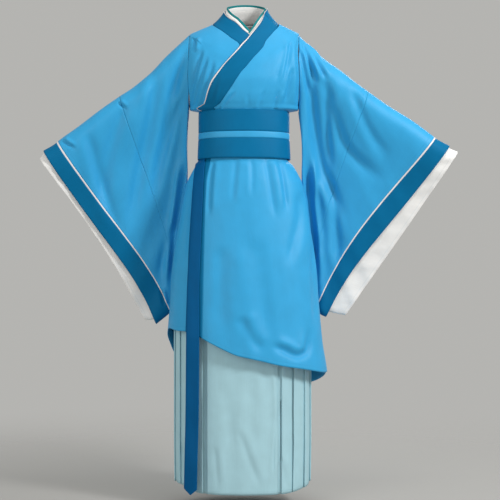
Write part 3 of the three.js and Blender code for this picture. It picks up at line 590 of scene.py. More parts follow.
def collar_lines(rows, out, turn):
    """Curves by the seam's level: the seam's angle, the free edge's angle and the free edge's level."""
    rows = np.array(rows, float)
    seam_angle, seam_level = on_front(rows[:, 0], rows[:, 1], out)
    free_angle, free_level = on_front(rows[:, 2], rows[:, 3], out)
    return {
        "seam_angle": smooth_curve(list(zip(seam_level, seam_angle - turn))),
        "free_angle": smooth_curve(list(zip(seam_level, free_angle - turn))),
        "free_level": smooth_curve(list(zip(seam_level, free_level))),
    }


overlap_collar = collar_lines(OVERLAP_COLLAR, COLLAR_OUT, 0)
underlap_collar = collar_lines(UNDERLAP_COLLAR, ROBE_INSIDE, 2 * math.pi)
edge_free_x = smooth_curve([(row[0], row[1]) for row in EDGE_BAND])
edge_seam_x = smooth_curve([(row[0], row[2]) for row in EDGE_BAND])


def overlap_edge(level):
    """The inner edge of the upper front: the collar's seam, and the edge band's seam below it."""
    below = angle_at_x(edge_seam_x(level), level, COLLAR_OUT)
    return np.where(level >= COLLAR_END, overlap_collar["seam_angle"](level), below)


def underlap_edge(level):
    """The inner edge of the lower front: the collar's seam, and straight down below it."""
    below = angle_at_x(UNDERLAP_COLLAR[-1][0], level, ROBE_INSIDE)
    return np.where(level >= COLLAR_END, underlap_collar["seam_angle"](level) + 2 * math.pi, below)


FRONT_TOP_LEVEL = -6.7
NECK_ROWS = [(-6.8, -9, 12), (-9, -15, 12), (-15, -36, 14)]
RISE_FROM_SIDE = 30.0


def front_panel(side, edge, hem, out):
    """A front's outer face: columns from its side seam to its inner edge, lying on the back's layer there."""
    levels = body_levels(FRONT_TOP_LEVEL, NECK_ROWS + BODY_ROWS, 1)
    angle = np.full((len(levels) + HEM_STEPS, FRONT_COLUMNS), math.pi / 2)
    share = np.linspace(0, 1, FRONT_COLUMNS)[None, :]
    for _ in range(6):
        level = nested_level(row_level(levels, angle, hem), robe_outside)
        turn = side_turn(level, robe_outside)
        start = turn if side > 0 else math.pi - turn
        end = edge(level)
        angle = mix(start, end, share)
        from_side = np.abs(end - start) * figure_width(level) * share
    lift = mix(ROBE_INSIDE, out, ease(from_side / RISE_FROM_SIDE)) + SATIN_CLOTH
    return outward(figure(angle, level, lift), (0, 0, -400))


left_points = front_panel(1, overlap_edge, smooth_curve(OVERLAP_HEM), COLLAR_OUT)
left_points = worn(left_points, ROBE_SEED)
robe_front_left = cloth_piece("robe front left", left_points, 1.0, robe_satin)
right_points = front_panel(-1, underlap_edge, smooth_curve(UNDERLAP_HEM), ROBE_INSIDE)
right_points = worn(right_points, ROBE_SEED)
robe_front_right = cloth_piece("robe front right", right_points, 1.0, robe_satin)

# ---- Collar band and its piping ----
# A straight strip of darker satin over interlining, folded in half and sewn round the neck and down
# both fronts. Its free edge is trimmed with a thin white piping.

COLLAR_CLOTH = 1.6
COLLAR_FOLDS = 0.35
PIPING_FROM = 0.94
LEVEL_ENDS = -232.0
NAPE_STEPS = 60
NAPE_RISE = 8.0


def collar_path(over, under, bottom, over_out, back_out, under_out):
    """Stations up one front, round the nape and down the other: the angles and levels of both edges."""
    levels = np.concatenate([-7 - 8 * np.linspace(0, 1, 26) ** 1.6, np.linspace(-17, bottom, 80)])

    def front(lines, out):
        free = np.where(levels <= LEVEL_ENDS, levels, lines["free_level"](levels))
        return np.stack([lines["seam_angle"](levels), levels, lines["free_angle"](levels), free, out], axis=1)

    rising = ease((np.degrees(over["seam_angle"](levels)) - 10) / 35)
    right = front(over, mix(back_out, over_out, rising))
    left = front(under, np.full(len(levels), float(under_out)))
    share = np.linspace(0, 1, NAPE_STEPS + 1)[1:-1]
    free_level = mix(right[0, 3], left[0, 3], share) + NAPE_RISE * np.sin(math.pi * share)
    nape = np.stack([
        mix(right[0, 0], left[0, 0], share), np.full(len(share), NECKLINE_LEVEL),
        mix(right[0, 2], left[0, 2], share), free_level, np.full(len(share), float(back_out)),
    ], axis=1)
    return np.concatenate([right[::-1], nape, left])


def collar_strip(path, start, end, columns, thickness, crown):
    """A strip between two shares of the collar's width, a little domed by the layers folded inside it."""
    share = np.linspace(0, 1, columns)[None, :]
    across = mix(start, end, share)
    angle = mix(path[:, 0:1], path[:, 2:3], across)
    level = mix(path[:, 1:2], path[:, 3:4], across)
    dome = crown * np.sin(math.pi * share) ** 0.4
    return outward(figure(angle, level, path[:, 4:5] + thickness - crown + dome), (0, 0, -100))


def from_long_edges(points):
    """How far each point of a strip is from the nearer of its two long edges."""
    run = run_along(points, 1)
    return np.minimum(run, run[:, -1:] - run)


band_satin = woven_cloth("deep teal blue satin", (0.001, 0.145, 0.315), 0.55, shine=0.08, stitch=0.004)
white_piping = woven_cloth("white piping", (0.82, 0.77, 0.77), 0.5, threads=0.3)

robe_collar = collar_path(overlap_collar, underlap_collar, COLLAR_END, COLLAR_OUT, ROBE_INSIDE, ROBE_INSIDE)
band_points = collar_strip(robe_collar, 0, PIPING_FROM, 18, COLLAR_CLOTH, 0.7)
band_points = worn(band_points, ROBE_SEED, COLLAR_FOLDS)
collar_band = cloth_piece(
    "collar band", band_points, 1.3, band_satin, edge=from_long_edges(band_points))
piping_points = collar_strip(robe_collar, PIPING_FROM, 1, 7, COLLAR_CLOTH + 0.6, 1.3)
piping_points = worn(piping_points, ROBE_SEED, COLLAR_FOLDS)
cloth_piece("collar piping", piping_points, 1.2, white_piping)

# ---- Front edge band ----
# Below the belt the same dark strip goes on down the edge of the upper front to its hem.

EDGE_COLUMNS = 14
edge_levels = body_levels(-300, [(-300, -385, 10), (-385, -432, 12)], 1)
edge_angle = np.full((len(edge_levels) + HEM_STEPS, EDGE_COLUMNS), math.radians(130))
for _ in range(6):
    edge_level = row_level(edge_levels, edge_angle, smooth_curve(OVERLAP_HEM))
    seam_angle = angle_at_x(edge_seam_x(edge_level), edge_level, COLLAR_OUT)
    free_angle = angle_at_x(edge_free_x(edge_level), edge_level, COLLAR_OUT)
    edge_angle = mix(seam_angle, free_angle, np.linspace(0, 1, EDGE_COLUMNS)[None, :])
edge_points = outward(figure(edge_angle, edge_level, COLLAR_OUT + COLLAR_CLOTH), (0, 0, -600))
edge_points = worn(edge_points, ROBE_SEED)
front_edge_band = cloth_piece(
    "front edge band", edge_points, 1.3, band_satin, edge=from_long_edges(edge_points))

# ---- Sleeves ----
# Each wide sleeve is an upper part and a wing joined on at the width of the cloth, folded along the arm
# and hanging free below it. The cuff is a dark band with a white piping in its seam.

# Lines across a sleeve, at the top of the arm and at the hanging edge: top X and Z, low X and Z, low Y,
# half thickness over the arm and where it hangs, how far down it thins, and how far the line bows.
RIGHT_SLEEVE = [
    (188, -59, 162, -330, 14, 50, 16, 210, 0, 0.5),
    (224, -93, 163, -447, 38, 46, 14, 200, 0, 0.5),
    (270, -141, 179, -565, 60, 43, 13, 180, -2, 0.6),
    (318, -180, 192, -648, 68, 41, 13, 170, -5, 0.65),
    (355, -204, 200, -706, 70, 40, 13, 160, -8, 0.7),
    (411, -243, 205, -757, 70, 38, 13, 150, -11, 0.72),
    (470, -288, 208, -793, 69, 36, 13, 150, -14, 0.74),
    (530, -331.5, 212, -820, 68, 34, 13, 150, -15, 0.74),
]
LEFT_SLEEVE = [
    (191, -65, 166, -345, 14, 50, 16, 210, 0, 0.5),
    (232, -100, 166, -447, 38, 46, 14, 200, 0, 0.5),
    (275, -130, 179, -565, 60, 43, 13, 180, -4, 0.6),
    (318, -164, 191, -648, 68, 41, 13, 170, -8, 0.6),
    (354, -190, 198, -706, 70, 40, 13, 160, -12, 0.6),
    (415, -233, 202, -752, 70, 38, 13, 150, -17, 0.6),
    (478, -272, 204, -785, 70, 36, 13, 150, -22, 0.6),
    (542, -319.5, 205, -811, 68, 34, 13, 150, -25, 0.6),
]
PIPING_LINE = {"right": (533.5, -335, 214, -822.5, 68, 34, 13, 150, -15, 0.74),
               "left": (545.5, -322.5, 207, -814, 68, 34, 13, 150, -25, 0.6)}
CUFF_LINE = {"right": (571, -358, 255, -856.5, 68, 34, 13, 150, -15, 0.74),
             "left": (585.5, -344.5, 238, -835, 68, 34, 13, 150, -16, 0.72)}
INNER_LINE = {"right": (585.5, -375.5, 284.5, -847, 68, 34, 13, 150, -12, 0.5),
              "left": (612.5, -356, 290.5, -833, 68, 34, 13, 150, 3, 0.5)}
# Each sleeve's side of the body, lines and the seed of its waves.
SLEEVES = (("right", -1, RIGHT_SLEEVE, 11), ("left", 1, LEFT_SLEEVE, 12))
JOIN = 4
AROUND_HALF = 70
TUBE_ROWS = 399
ARMHOLE_GAP = 0.6


def sleeve_shares():
    """Shares of a sleeve's depth, down the front and up the back, closer together at both folds."""
    down = (1 - np.cos(np.linspace(0, math.pi, AROUND_HALF + 1))) / 2
    return np.concatenate([down, down[-2::-1]]), np.arange(2 * AROUND_HALF + 1) <= AROUND_HALF


def sleeve_loop(line, side, out):
    """One closed loop round a sleeve, in the plane of one of its lines."""
    top_x, top_z, low_x, low_z, low_y, arm, tail, fall, bow, bow_at = line
    share, is_front = sleeve_shares()
    length = math.hypot(low_x - top_x, low_z - top_z)
    along_x, along_z = (low_x - top_x) / length, (low_z - top_z) / length
    grow = out - robe_outside
    at = mix(-grow, length + grow, share)
    bowed = bow * np.sin(math.pi * share ** (math.log(0.5) / math.log(bow_at)))
    x = top_x + along_x * at - along_z * bowed
    z = top_z + along_z * at + along_x * bowed
    from_top = share * length
    over_arm = np.sqrt(1 - (1 - np.minimum(1, from_top / (arm * 1.15))) ** 2)
    closing = np.sqrt(1 - (1 - np.minimum(1, (length - from_top) / (tail * 1.3))) ** 2)
    thick = (mix(arm, tail, ease((from_top - arm) / fall)) + grow) * over_arm * closing
    y = low_y * ease(share * 1.1) + np.where(is_front, -thick, thick)
    return np.stack([side * x, y, z], axis=-1)


def armhole_loop(side, out):
    """The loop where a sleeve is set into the body, in the armhole's plane."""
    share, is_front = sleeve_shares()
    level = nested_level(mix(SHOULDER_LEVEL, UNDERARM_LEVEL, share), out)
    plane = ARMHOLE_X + out + ARMHOLE_GAP
    turn = angle_at_x(plane, level, out)
    turn[[0, AROUND_HALF, -1]] = 0
    point = figure(np.where(is_front, turn, -turn), level, out)
    point[:, 0] = side * plane
    return point


def through_loops(loops, steps):
    """A grid that runs smoothly through loops of points, with its rows evenly spaced between them."""
    loops = np.array(loops)
    run = run_along(loops, 0).mean(axis=1)
    gaps = np.diff(run)
    at = np.linspace(0, run[-1], steps)
    slope = np.zeros(loops.shape)
    rise = np.diff(loops, axis=0) / gaps[:, None, None]
    slope[0], slope[-1] = rise[0], rise[-1]
    slope[1:-1] = (rise[:-1] + rise[1:]) / 2
    i = np.clip(np.searchsorted(run, at, side="right") - 1, 0, len(run) - 2)
    t = ((at - run[i]) / gaps[i])[:, None, None]
    return smooth_step(t, gaps[i][:, None, None], loops[i], loops[i + 1], slope[i], slope[i + 1])


def cut_tube(loops, cuts):
    """The grids of a tube's pieces; each cut is a piece's first loop, its last loop and its rows."""
    whole = through_loops(loops, TUBE_ROWS + 1)
    run = run_along(np.array(loops), 0).mean(axis=1)
    pieces = []
    for first, last, steps in cuts:
        at = np.linspace(run[first], run[last], steps) / run[-1] * TUBE_ROWS
        low = np.clip(at.astype(int), 0, TUBE_ROWS - 1)
        pieces.append(mix(whole[low], whole[low + 1], (at - low)[:, None, None]))
    return pieces


def sleeve_grid(side, rows, where, out):
    """The grids of the outer sleeve's upper part, wing, piping and cuff band."""
    lines = list(rows) + [PIPING_LINE[where], CUFF_LINE[where]]
    loops = [armhole_loop(side, out)] + [sleeve_loop(line, side, out) for line in lines]
    return cut_tube(loops, ((0, JOIN + 1, 74), (JOIN + 1, 8, 56), (8, 9, 5), (9, 10, 14)))


def sleeve_centre(points):
    return points.mean(axis=1, keepdims=True)


def sleeve_hang(points, seed):
    """Folds of the worn robe, and long soft waves that grow towards the free hanging edge."""
    folded = folded_cloth(points, SLEEVE_DEPTH)
    x, z = folded[..., 0], folded[..., 2]
    low = ease((-z - 260) / 420)
    folded[..., 1] += ripples(x + 0.55 * np.sign(x) * z, z, 120, 700, seed) * (0.4 + 3.6 * low)
    return folded


# Name, cloth, slot, wall, flat size and area of a sleeve's parts.
SLEEVE_PARTS = (
    ("sleeve upper", robe_satin, "robe_blue", 1.0, (1.14, 0.26), 0.165),
    ("sleeve wing", robe_satin, "robe_blue", 1.0, (1.26, 0.19), 0.165),
    ("cuff piping", white_piping, "piping_white", 1.0, None, None),
    ("cuff band", band_satin, "band_blue", 1.4, (1.22, 0.048), None),
)
for where, side, rows, seed in SLEEVES:
    grids = sleeve_grid(side, rows, where, robe_outside)
    for points, (part, cloth, slot, wall, flat, area) in zip(grids, SLEEVE_PARTS):
        hung = sleeve_hang(outward(points, sleeve_centre(points)), seed)
        piece = cloth_piece(f"{part} {where}", hung, wall, cloth, tube=True)

# ---- Inner robe ----
# A plain white cotton-like robe under the blue one: front, back and two wide sleeves that show past the
# cuffs. Its collar is a white strip with a narrow teal edge, crossed the same way.

LINING_CLOTH = 1.0
INNER_OVER_OUT = 4.0
INNER_UNDER_OUT = 2.3
INNER_BOTTOM = -232.0
INNER_HEM = -330.0
INNER_OVERLAP_COLLAR = [
    (92, -3, 54, 40), (76, -32, 36, 6), (50, -58, 20, -21), (24, -84, -6, -56), (-4, -124, -38, -98),
    (-34, -172, -70, -148), (-56, -236, -94, -226),
]
INNER_UNDERLAP_COLLAR = [
    (-85, -4, -47, 52), (-64, -27, -16, 13), (-39, -49, 7, -13), (-14, -70, 27, -38), (12, -98, 48, -70),
    (30, -130, 68, -112), (44, -180, 84, -166), (54, -236, 94, -230),
]
# How far the front's neck dips in the middle, by level.
NECK_DIP = [(-92, 0), (-20, 62)]
INNER_NECK_LEVEL = -20.0
INNER_ROWS = [(-20, -60, 8), (-60, -262, 40), (-262, INNER_HEM, 8)]
INNER_COLUMNS = 60
INNER_WALL = 0.8
# The inner sleeve goes straight on past the robe's armhole, drawn in a little, before it hangs down.
PAST_ROBE_ARMHOLE = 11.4
DRAWN_IN = 0.14
DRAWN_DOWN = 7.0
# Inside the outer sleeve the inner one hangs closer together, by this share of its thickness.
INNER_SLEEVE_SLACK = 0.2

lining = woven_cloth("white lining", (0.86, 0.85, 0.83), 0.75, shine=0.2, crumple=0.9, stitch=0.01)
teal_edge = woven_cloth("teal edge", (0.008, 0.22, 0.24), 0.5, shine=0.1)


def inner_panel(first, start, dip):
    """Half of the inner robe's body, from the side at the start's angle on, with its neck dipping."""
    levels = body_levels(first, INNER_ROWS, 3)[:, None]
    level = nested_level(levels, LINING_CLOTH)
    turn = side_turn(level, LINING_CLOTH)
    share = np.linspace(0, 1, INNER_COLUMNS)[None, :]
    drop = dip(levels) * np.sin(math.pi * share) ** 4
    angle = mix(start + turn, start + math.pi - turn, share)
    return outward(figure(angle, level - drop, LINING_CLOTH), (0, 0, -150))


for name, first, start, dip, flat, area in (
        ("inner front", INNER_NECK_LEVEL - 0.1, 0, smooth_curve(NECK_DIP), (0.42, 0.31), 0.09),
        ("inner back", NECKLINE_LEVEL, math.pi, np.zeros_like, (0.42, 0.34), 0.12)):
    piece = cloth_piece(name, inner_panel(first, start, dip), INNER_WALL, lining)

inner_collar = collar_path(
    collar_lines(INNER_OVERLAP_COLLAR, INNER_OVER_OUT, 0),
    collar_lines(INNER_UNDERLAP_COLLAR, INNER_UNDER_OUT, 2 * math.pi),
    INNER_BOTTOM, INNER_OVER_OUT, INNER_UNDER_OUT, INNER_UNDER_OUT)
for name, start, end, columns, cloth, slot in (
        ("inner collar", 0, 0.86, 14, lining, "white"),
        ("inner collar edge", 0.865, 1, 7, teal_edge, "teal")):
    points = collar_strip(inner_collar, start, end, columns, LINING_CLOTH, 0.3)
    piece = cloth_piece(name, points, INNER_WALL, cloth, edge=from_long_edges(points))


def past_armhole_loop(side):
    """The inner sleeve's loop just past the armhole of the robe over it."""
    loop = armhole_loop(side, LINING_CLOTH)
    share, _ = sleeve_shares()
    loop[:, 0] += side * PAST_ROBE_ARMHOLE
    loop[:, 1] *= 1 - DRAWN_IN
    loop[:, 2] -= DRAWN_DOWN * (1 - share) ** 2
    return loop


def inner_sleeve_grids(side, rows, where):
    cuff, end = list(CUFF_LINE[where]), list(INNER_LINE[where])
    under = cuff[:2] + [mix(cuff[2], end[2], 0.15), cuff[3] + 9] + cuff[4:]
    end[3] -= (robe_outside - LINING_CLOTH) / 2
    lines = [sleeve_loop(line, side, LINING_CLOTH) for line in list(rows) + [under, end]]
    loops = [armhole_loop(side, LINING_CLOTH), past_armhole_loop(side)] + lines
    return cut_tube(loops, ((0, JOIN + 2, 66), (JOIN + 2, len(loops) - 1, 70)))


for where, side, rows, seed in SLEEVES:
    for part, points, flat, area in zip(
            ("inner sleeve upper", "inner sleeve wing"), inner_sleeve_grids(side, rows, where),
            ((1.14, 0.25), (1.26, 0.28)), (0.157, 0.257)):
        points = sleeve_hang(outward(points, sleeve_centre(points)), seed)
        along = np.linspace(0, 1, len(points))[:, None]
        if part == "inner sleeve wing":
            shown = ease((along - 0.72) / 0.2)
            hidden = 1 - ease((along - 0.5) / 0.2)
            points[..., 1] += shown * 2.2 * ripples(points[..., 2], points[..., 0], 46, 400, seed + 5)
        else:
            hidden = ease((along - 0.05) / 0.15)
        middle = (points[..., 1] + points[:, ::-1, 1]) / 2
        points[..., 1] = mix(points[..., 1], middle, INNER_SLEEVE_SLACK * hidden)
        piece = cloth_piece(f"{part} {where}", points, INNER_WALL, lining, tube=True)

# ---- Belt and its long ribbon ----
# A broad stiffened belt of the dark satin with a sky blue stripe let in, wrapped once round the waist.
# A pointed ribbon of the same satin hangs from under it to the skirt's hem.

BELT_OUT = 16.4
BELT_CLOTH = 2.4
BELT_TOP = -250.0
STRIPE_TOP = -311.0
STRIPE_BOTTOM = -329.0
BELT_BOTTOM = -385.0
TUCKED_LEVEL = -262.0
RIBBON_OUT = 13.4
RIBBON_HELD = -880.0
RIBBON = [
    (-372, -116, 26), (-385, -117, 26), (-402, -119, 27), (-432, -122, 28), (-500, -126, 30),
    (-612, -131, 31), (-760, -137, 33), (-890, -138, 35), (-1056, -139, 36), (-1200, -142, 36),
    (-1299, -144, 36),
]
RIBBON_POINT = -1315.0


def waist_strip(top, bottom, outside, rows, crown):
    """A strip all round the waist, a little rounded off at its two edges."""
    z = np.linspace(top, bottom, rows)[:, None]
    share = np.linspace(0, 1, rows)[:, None]
    angle = np.linspace(0, 2 * math.pi, 181)[None, :]
    dome = crown * (np.sin(math.pi * share) ** 0.3 - 1)
    points = figure(angle, np.minimum(z, TUCKED_LEVEL) + 0 * angle, outside + dome + 0 * angle)
    points[..., 2] = z
    return outward(points, (0, 0, -300))


belt_satin = woven_cloth("belt satin", (0.001, 0.15, 0.33), 0.5, shine=0.08, stitch=0.003, crumple=0.3)
stripe_satin = woven_cloth("belt stripe satin", (0.035, 0.355, 0.66), 0.45, crumple=0.3)
for name, top, bottom, rows, cloth, slot in (
        ("belt upper", BELT_TOP, STRIPE_TOP, 22, belt_satin, "belt_blue"),
        ("belt stripe", STRIPE_TOP - 0.1, STRIPE_BOTTOM, 10, stripe_satin, "stripe_blue"),
        ("belt lower", STRIPE_BOTTOM - 0.1, BELT_BOTTOM, 20, belt_satin, "belt_blue")):
    points = waist_strip(top, bottom, BELT_OUT + BELT_CLOTH, rows, 0.9)
    hem = np.minimum(points[..., 2] - bottom, top - points[..., 2])
    bend = 0.9 * ripples(points[..., 0] * 0.6 + points[..., 1], points[..., 2], 90, 160, 21)
    points = points + grid_normals(points) * bend[..., None]
    piece = cloth_piece(name, points, 2.0, cloth, tube=True, edge=hem)

# The ribbon's rows, its taper to the point and, once it hangs free, a light wave.
ribbon_satin = woven_cloth("ribbon satin", (0.0, 0.1, 0.275), 0.55, shine=0.08, stitch=0.003)
ribbon_z = np.linspace(RIBBON[0][0], RIBBON[-1][0], 240)
ribbon_z = np.concatenate([ribbon_z, [-1303, -1307, -1311, RIBBON_POINT]])
ribbon_middle = smooth_curve([(row[0], row[1]) for row in RIBBON])(ribbon_z)[:, None]
ribbon_width = smooth_curve([(row[0], row[2]) for row in RIBBON])(ribbon_z)
ribbon_width = ribbon_width * np.clip((ribbon_z - RIBBON_POINT + 1.5) / 17, 0, 1)
ribbon_across = np.linspace(0.5, -0.5, 11)[None, :]
ribbon_level = np.maximum(ribbon_z, RIBBON_HELD)[:, None] + 0 * ribbon_across
ribbon_angle = angle_at_x(ribbon_middle + ribbon_across * ribbon_width[:, None], ribbon_level, COLLAR_OUT)
ribbon_points = figure(ribbon_angle, ribbon_level, RIBBON_OUT + SATIN_CLOTH)
ribbon_points[..., 2] = ribbon_z[:, None]
ribbon_points = worn(outward(ribbon_points, (0, 0, -800)), ROBE_SEED, 0.5)
ribbon_free = ease((-ribbon_z[:, None] - 700) / 500)
ribbon_wave = 2.5 * np.sin(ribbon_z[:, None] / 62) + 1.6 * np.sin(ribbon_z[:, None] / 27)
ribbon_points[..., 1] += ribbon_free * ribbon_wave
streamer = cloth_piece(
    "ribbon", ribbon_points, 1.0, ribbon_satin, edge=from_long_edges(ribbon_points),
    node="streamer")

# ---- Pleated skirt ----
# A long skirt of pale aqua cloth on a waistband: a plain panel in front and behind, and knife pleats
# down both sides that are pressed in at the waist and open towards the hem.

SKIRT_CLOTH = 1.2
SKIRT_WAIST_OUT = 2.5
SKIRT_TOP = -292.0
WAISTBAND_BOTTOM = -342.0
PANEL_RELIEF = 2.0
SKIRT_ROWS = [(-343, -385, 8), (-385, -432, 10)]
PLEATS_OPEN_OVER = 300.0
SKIRT_SEED = 31
SKIRT_RINGS = [
    (-262, 0, 113, 0, 83, 79),
    (-385, 0, 117, 0, 86.5, 86.5),
    (-402, -1, 130, 0, 92, 93),
    (-432, -2, 145, 0, 98, 100),
    (-570, -3, 171, 0, 111, 114),
    (-698, -4, 186, 0, 118, 121),
    (-870, -4, 192, 0, 122, 125),
    (-1150, -4, 192, 0, 124, 127),
    (-1320, -4, 190, 0, 124, 127),
]
SKIRT_HEM = [
    (-180, -1299), (-165, -1297), (-120, -1308), (-90, -1312), (-60, -1308), (-15, -1292), (0, -1292),
    (20, -1302), (44, -1312), (60, -1316), (90, -1316), (123, -1314), (140, -1300), (165, -1294),
    (180, -1299),
]
# Each pleat of a side runs from its start to its folded edge, in degrees from the side, and has a depth.
PLEATS = [(-43, -30, 5), (-27, -12, 4.5), (-9, 8, 4.5), (11, 27, 5), (30, 45, 5)]
PLEAT_TUCK = 2.6
FOLD_BACK = 2.8
# The front and the back are plain panels with one pleat at each side: start, folded edge, depth, the
# degrees that it starts under, and the panel's own edge.
FRONT_PLEAT = (48.2, 58, 6, 40.7)
FRONT_PANEL_EDGE = 61.9
BACK_PLEAT = (302.9, 314, 7, 297)
BACK_PANEL_EDGE = 301.3
# Soft folds of the skirt below the robe, on the front and on the back.
SKIRT_FOLDS = [
    ([(-16, -1130), (17, -1224), (48, -1300)], 9, 2.6, 0.6),
    ([(-60, -1000), (-40, -1120), (-20, -1220)], 16, 1.6, 0.5),
    ([(60, -960), (72, -1060), (70, -1180)], 14, 1.8, -0.5),
    ([(88, -950), (94, -1080), (90, -1137), (80, -1305)], 4, 3.0, -0.6),
    ([(20, -980), (24, -1080), (18, -1180)], 18, 1.4, 0.5),
    ([(-80, -1180), (-74, -1250), (-70, -1306)], 8, 2.0, 0.5),
    ([(100, -1210), (112, -1260), (118, -1306)], 7, 2.6, 0.6),
    ([(-176, -1180), (-168, -1240), (-160, -1296)], 7, 2.4, -0.6),
]
SKIRT_BACK_FOLDS = [
    ([(-70, -980), (-60, -1130), (-52, -1290)], 14, 2.2, 0.5),
    ([(30, -960), (22, -1120), (10, -1300)], 16, 2.4, -0.5),
    ([(80, -1020), (86, -1160), (92, -1300)], 10, 2.4, 0.5),
]

skirt_cloth = woven_cloth("pale aqua cloth", (0.4, 0.64, 0.71), 0.62, shine=0.2, stitch=0.009)
_, skirt_form, _ = ringed_form(SKIRT_RINGS)
skirt_hem = smooth_curve(SKIRT_HEM)


def skirt_points(degrees, relief):
    """The skirt at each column's angle, with its relief growing from nothing under the belt."""
    facing = np.where(degrees > 180, degrees - 360, degrees)
    levels = body_levels(WAISTBAND_BOTTOM - 0.1, SKIRT_ROWS, 1)
    level = row_level(levels, np.radians(facing), skirt_hem)
    grown = ease((BELT_BOTTOM - level) / PLEATS_OPEN_OVER)
    return np.radians(degrees), level, grown, relief * grown


def skirt_worn(points, seed):
    """The skirt with its soft folds and a little unevenness that grows towards the hem."""
    folded = pressed(pressed(points, SKIRT_FOLDS, -1), SKIRT_BACK_FOLDS, 1)
    loose = ease((-points[..., 2] - 700) / 500)
    hang = ripples(points[..., 0], points[..., 2], 95, 600, seed) * (0.4 + 1.8 * loose)
    return folded + grid_normals(folded) * hang[..., None]


def all_rows(columns):
    rows = sum(steps for _, _, steps in SKIRT_ROWS) + 2 + HEM_STEPS
    return np.broadcast_to(np.asarray(columns, float)[None, :], (rows, len(columns)))


waistband_points = waist_strip(SKIRT_TOP, WAISTBAND_BOTTOM, SKIRT_WAIST_OUT + SKIRT_CLOTH, 10, 0.2)
waistband = cloth_piece("skirt waistband", waistband_points, 1.0, skirt_cloth, tube=True)


def knife_pleat(start, fold, depth, under):
    """Columns of a pleat: degrees laid flat, degrees with the pleat tucked under, and rise."""
    columns = []
    for share in np.linspace(0, 1, 17):
        columns.append((mix(start, fold, share), mix(under, fold, share), depth * (ease(share) - 0.5)))
    for share in np.linspace(0, 1, 9)[1:]:
        tucked = fold + 0.5 * math.sin(math.pi * share) - PLEAT_TUCK * share**2
        columns.append((mix(fold, fold + FOLD_BACK, share), tucked, depth * (0.5 - share)))
    return columns


def side_columns():
    """The columns of a side's pleats, each starting under the fold before it."""
    columns = []
    under = PLEATS[0][0] - 3 - PLEAT_TUCK
    for start, fold, depth in PLEATS:
        columns += knife_pleat(start, fold, depth, under)
        under = fold - PLEAT_TUCK
    return columns


def plain_columns(start, end):
    return [(degrees, degrees, PANEL_RELIEF) for degrees in np.linspace(start, end, 30)]


front_half = knife_pleat(*FRONT_PLEAT)
front_half += [(61.1, 60, -3.2), (61.4, 66, -3), (61.6, 65, -0.5), (61.75, 62.2, 1.2)]
front_half += plain_columns(FRONT_PANEL_EDGE, 90)
back_half = plain_columns(270, BACK_PANEL_EDGE)
back_half += [(301.5, 300.8, 0.8), (301.8, 299, -1.5)] + knife_pleat(*BACK_PLEAT)


def mirrored(columns):
    """The same columns on the skirt's other side."""
    return [(180 - flat, 180 - tucked, rise) for flat, tucked, rise in reversed(columns)]


SKIRT_PIECES = [
    ("skirt front", front_half + mirrored(front_half)[1:], (0.39, 0.98), 0.365, "hung"),
    ("skirt back", mirrored(back_half)[:-1] + back_half, (0.36, 0.98), 0.335, "hung"),
    ("skirt side left", side_columns(), (0.33, 0.98), 0.3, "gathered"),
    ("skirt side right", mirrored(side_columns()), (0.33, 0.98), 0.3, "gathered"),
]
for name, columns, flat_size, area, held in SKIRT_PIECES:
    flat, tucked, rise = (all_rows(column) for column in zip(*columns))
    if name == "skirt back":
        flat, tucked = np.where(flat < 0, flat + 360, flat), np.where(tucked < 0, tucked + 360, tucked)
    angle, level, grown, relief = skirt_points(flat, rise)
    angle = np.radians(mix(flat, tucked, grown))
    points = outward(skirt_form(angle, level, relief + SKIRT_CLOTH), (0, 0, -800))
    piece = cloth_piece(name, skirt_worn(points, SKIRT_SEED), 0.8, skirt_cloth)

# ---- Studio ----
# A pale floor just below the hem that fades out into an even pale backdrop, large soft lamps and a
# camera at the middle of the costume's height.

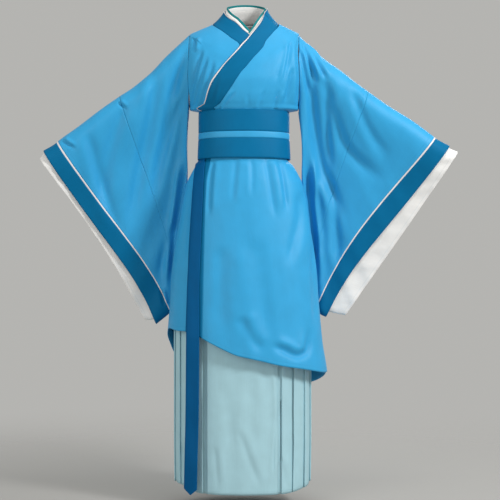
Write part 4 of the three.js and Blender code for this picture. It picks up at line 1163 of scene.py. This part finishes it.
FLOOR_LEVEL = -1.36
FLOOR_RADIUS = 2.6
FADE_FROM = 0.35
FADE_TO = 2.3
floor_mesh = bpy.data.meshes.new("floor")
bm = bmesh.new()
bmesh.ops.create_circle(bm, cap_ends=True, segments=96, radius=FLOOR_RADIUS)
bmesh.ops.translate(bm, verts=bm.verts, vec=(0, 0, FLOOR_LEVEL))
bm.to_mesh(floor_mesh)
bm.free()
floor = bpy.data.objects.new("floor", floor_mesh)
bpy.context.scene.collection.objects.link(floor)
floor_paint = bpy.data.materials.new("pale floor")
floor_paint.use_nodes = True
tree = floor_paint.node_tree
paint = tree.nodes["Principled BSDF"].inputs
paint["Base Color"].default_value = (0.36, 0.355, 0.34, 1)
paint["Roughness"].default_value = 0.8
place = add_node(tree, "TexCoord").outputs["Object"]
flat_place = add_node(tree, "VectorMath", {0: place, 1: (1, 1, 0)}, operation="MULTIPLY").outputs[0]
reach = add_node(tree, "VectorMath", {0: flat_place}, operation="LENGTH").outputs["Value"]
fade = add_node(tree, "MapRange", {
    "Value": reach, "From Min": FADE_FROM, "From Max": FADE_TO, "To Min": 1.0, "To Max": 0.0,
}, interpolation_type="SMOOTHSTEP")
tree.links.new(fade.outputs[0], paint["Alpha"])
floor_mesh.materials.append(floor_paint)


def soft_lamp(name, place, aim, size, watts, colour=(1, 1, 1)):
    lamp = bpy.data.lights.new(name, "AREA")
    lamp.shape = "DISK"
    lamp.size = size
    lamp.energy = watts
    lamp.color = colour
    holder = bpy.data.objects.new(name, lamp)
    holder.location = place
    holder.rotation_euler = (Vector(aim) - Vector(place)).to_track_quat("-Z", "Y").to_euler()
    bpy.context.scene.collection.objects.link(holder)


soft_lamp("key lamp", (2.5, -2.0, 1.2), (0, 0, -0.6), 0.8, 90)
soft_lamp("fill lamp", (-2.0, -2.6, 0.1), (0, 0, -0.8), 2.0, 24)
soft_lamp("top lamp", (0.3, -0.5, 2.0), (0, 0, -0.4), 1.2, 14)
soft_lamp("back lamp", (0.6, 2.8, 0.9), (0, 0, -0.6), 2.0, 40)

scene = bpy.context.scene
scene.view_settings.view_transform = "Standard"
world = bpy.data.worlds.new("pale studio")
world.use_nodes = True
world.node_tree.nodes["Background"].inputs["Color"].default_value = (0.46, 0.457, 0.44, 1)
world.node_tree.nodes["Background"].inputs["Strength"].default_value = 1.0
scene.world = world

CAMERA_DISTANCE = 3.5
lens = bpy.data.cameras.new("camera")
lens.lens = 88.4
lens.sensor_width = 36
camera = bpy.data.objects.new("camera", lens)
camera.location = (0.0171, -CAMERA_DISTANCE, -0.64125)
camera.rotation_euler = (math.pi / 2, 0, 0)
scene.collection.objects.link(camera)
scene.camera = camera
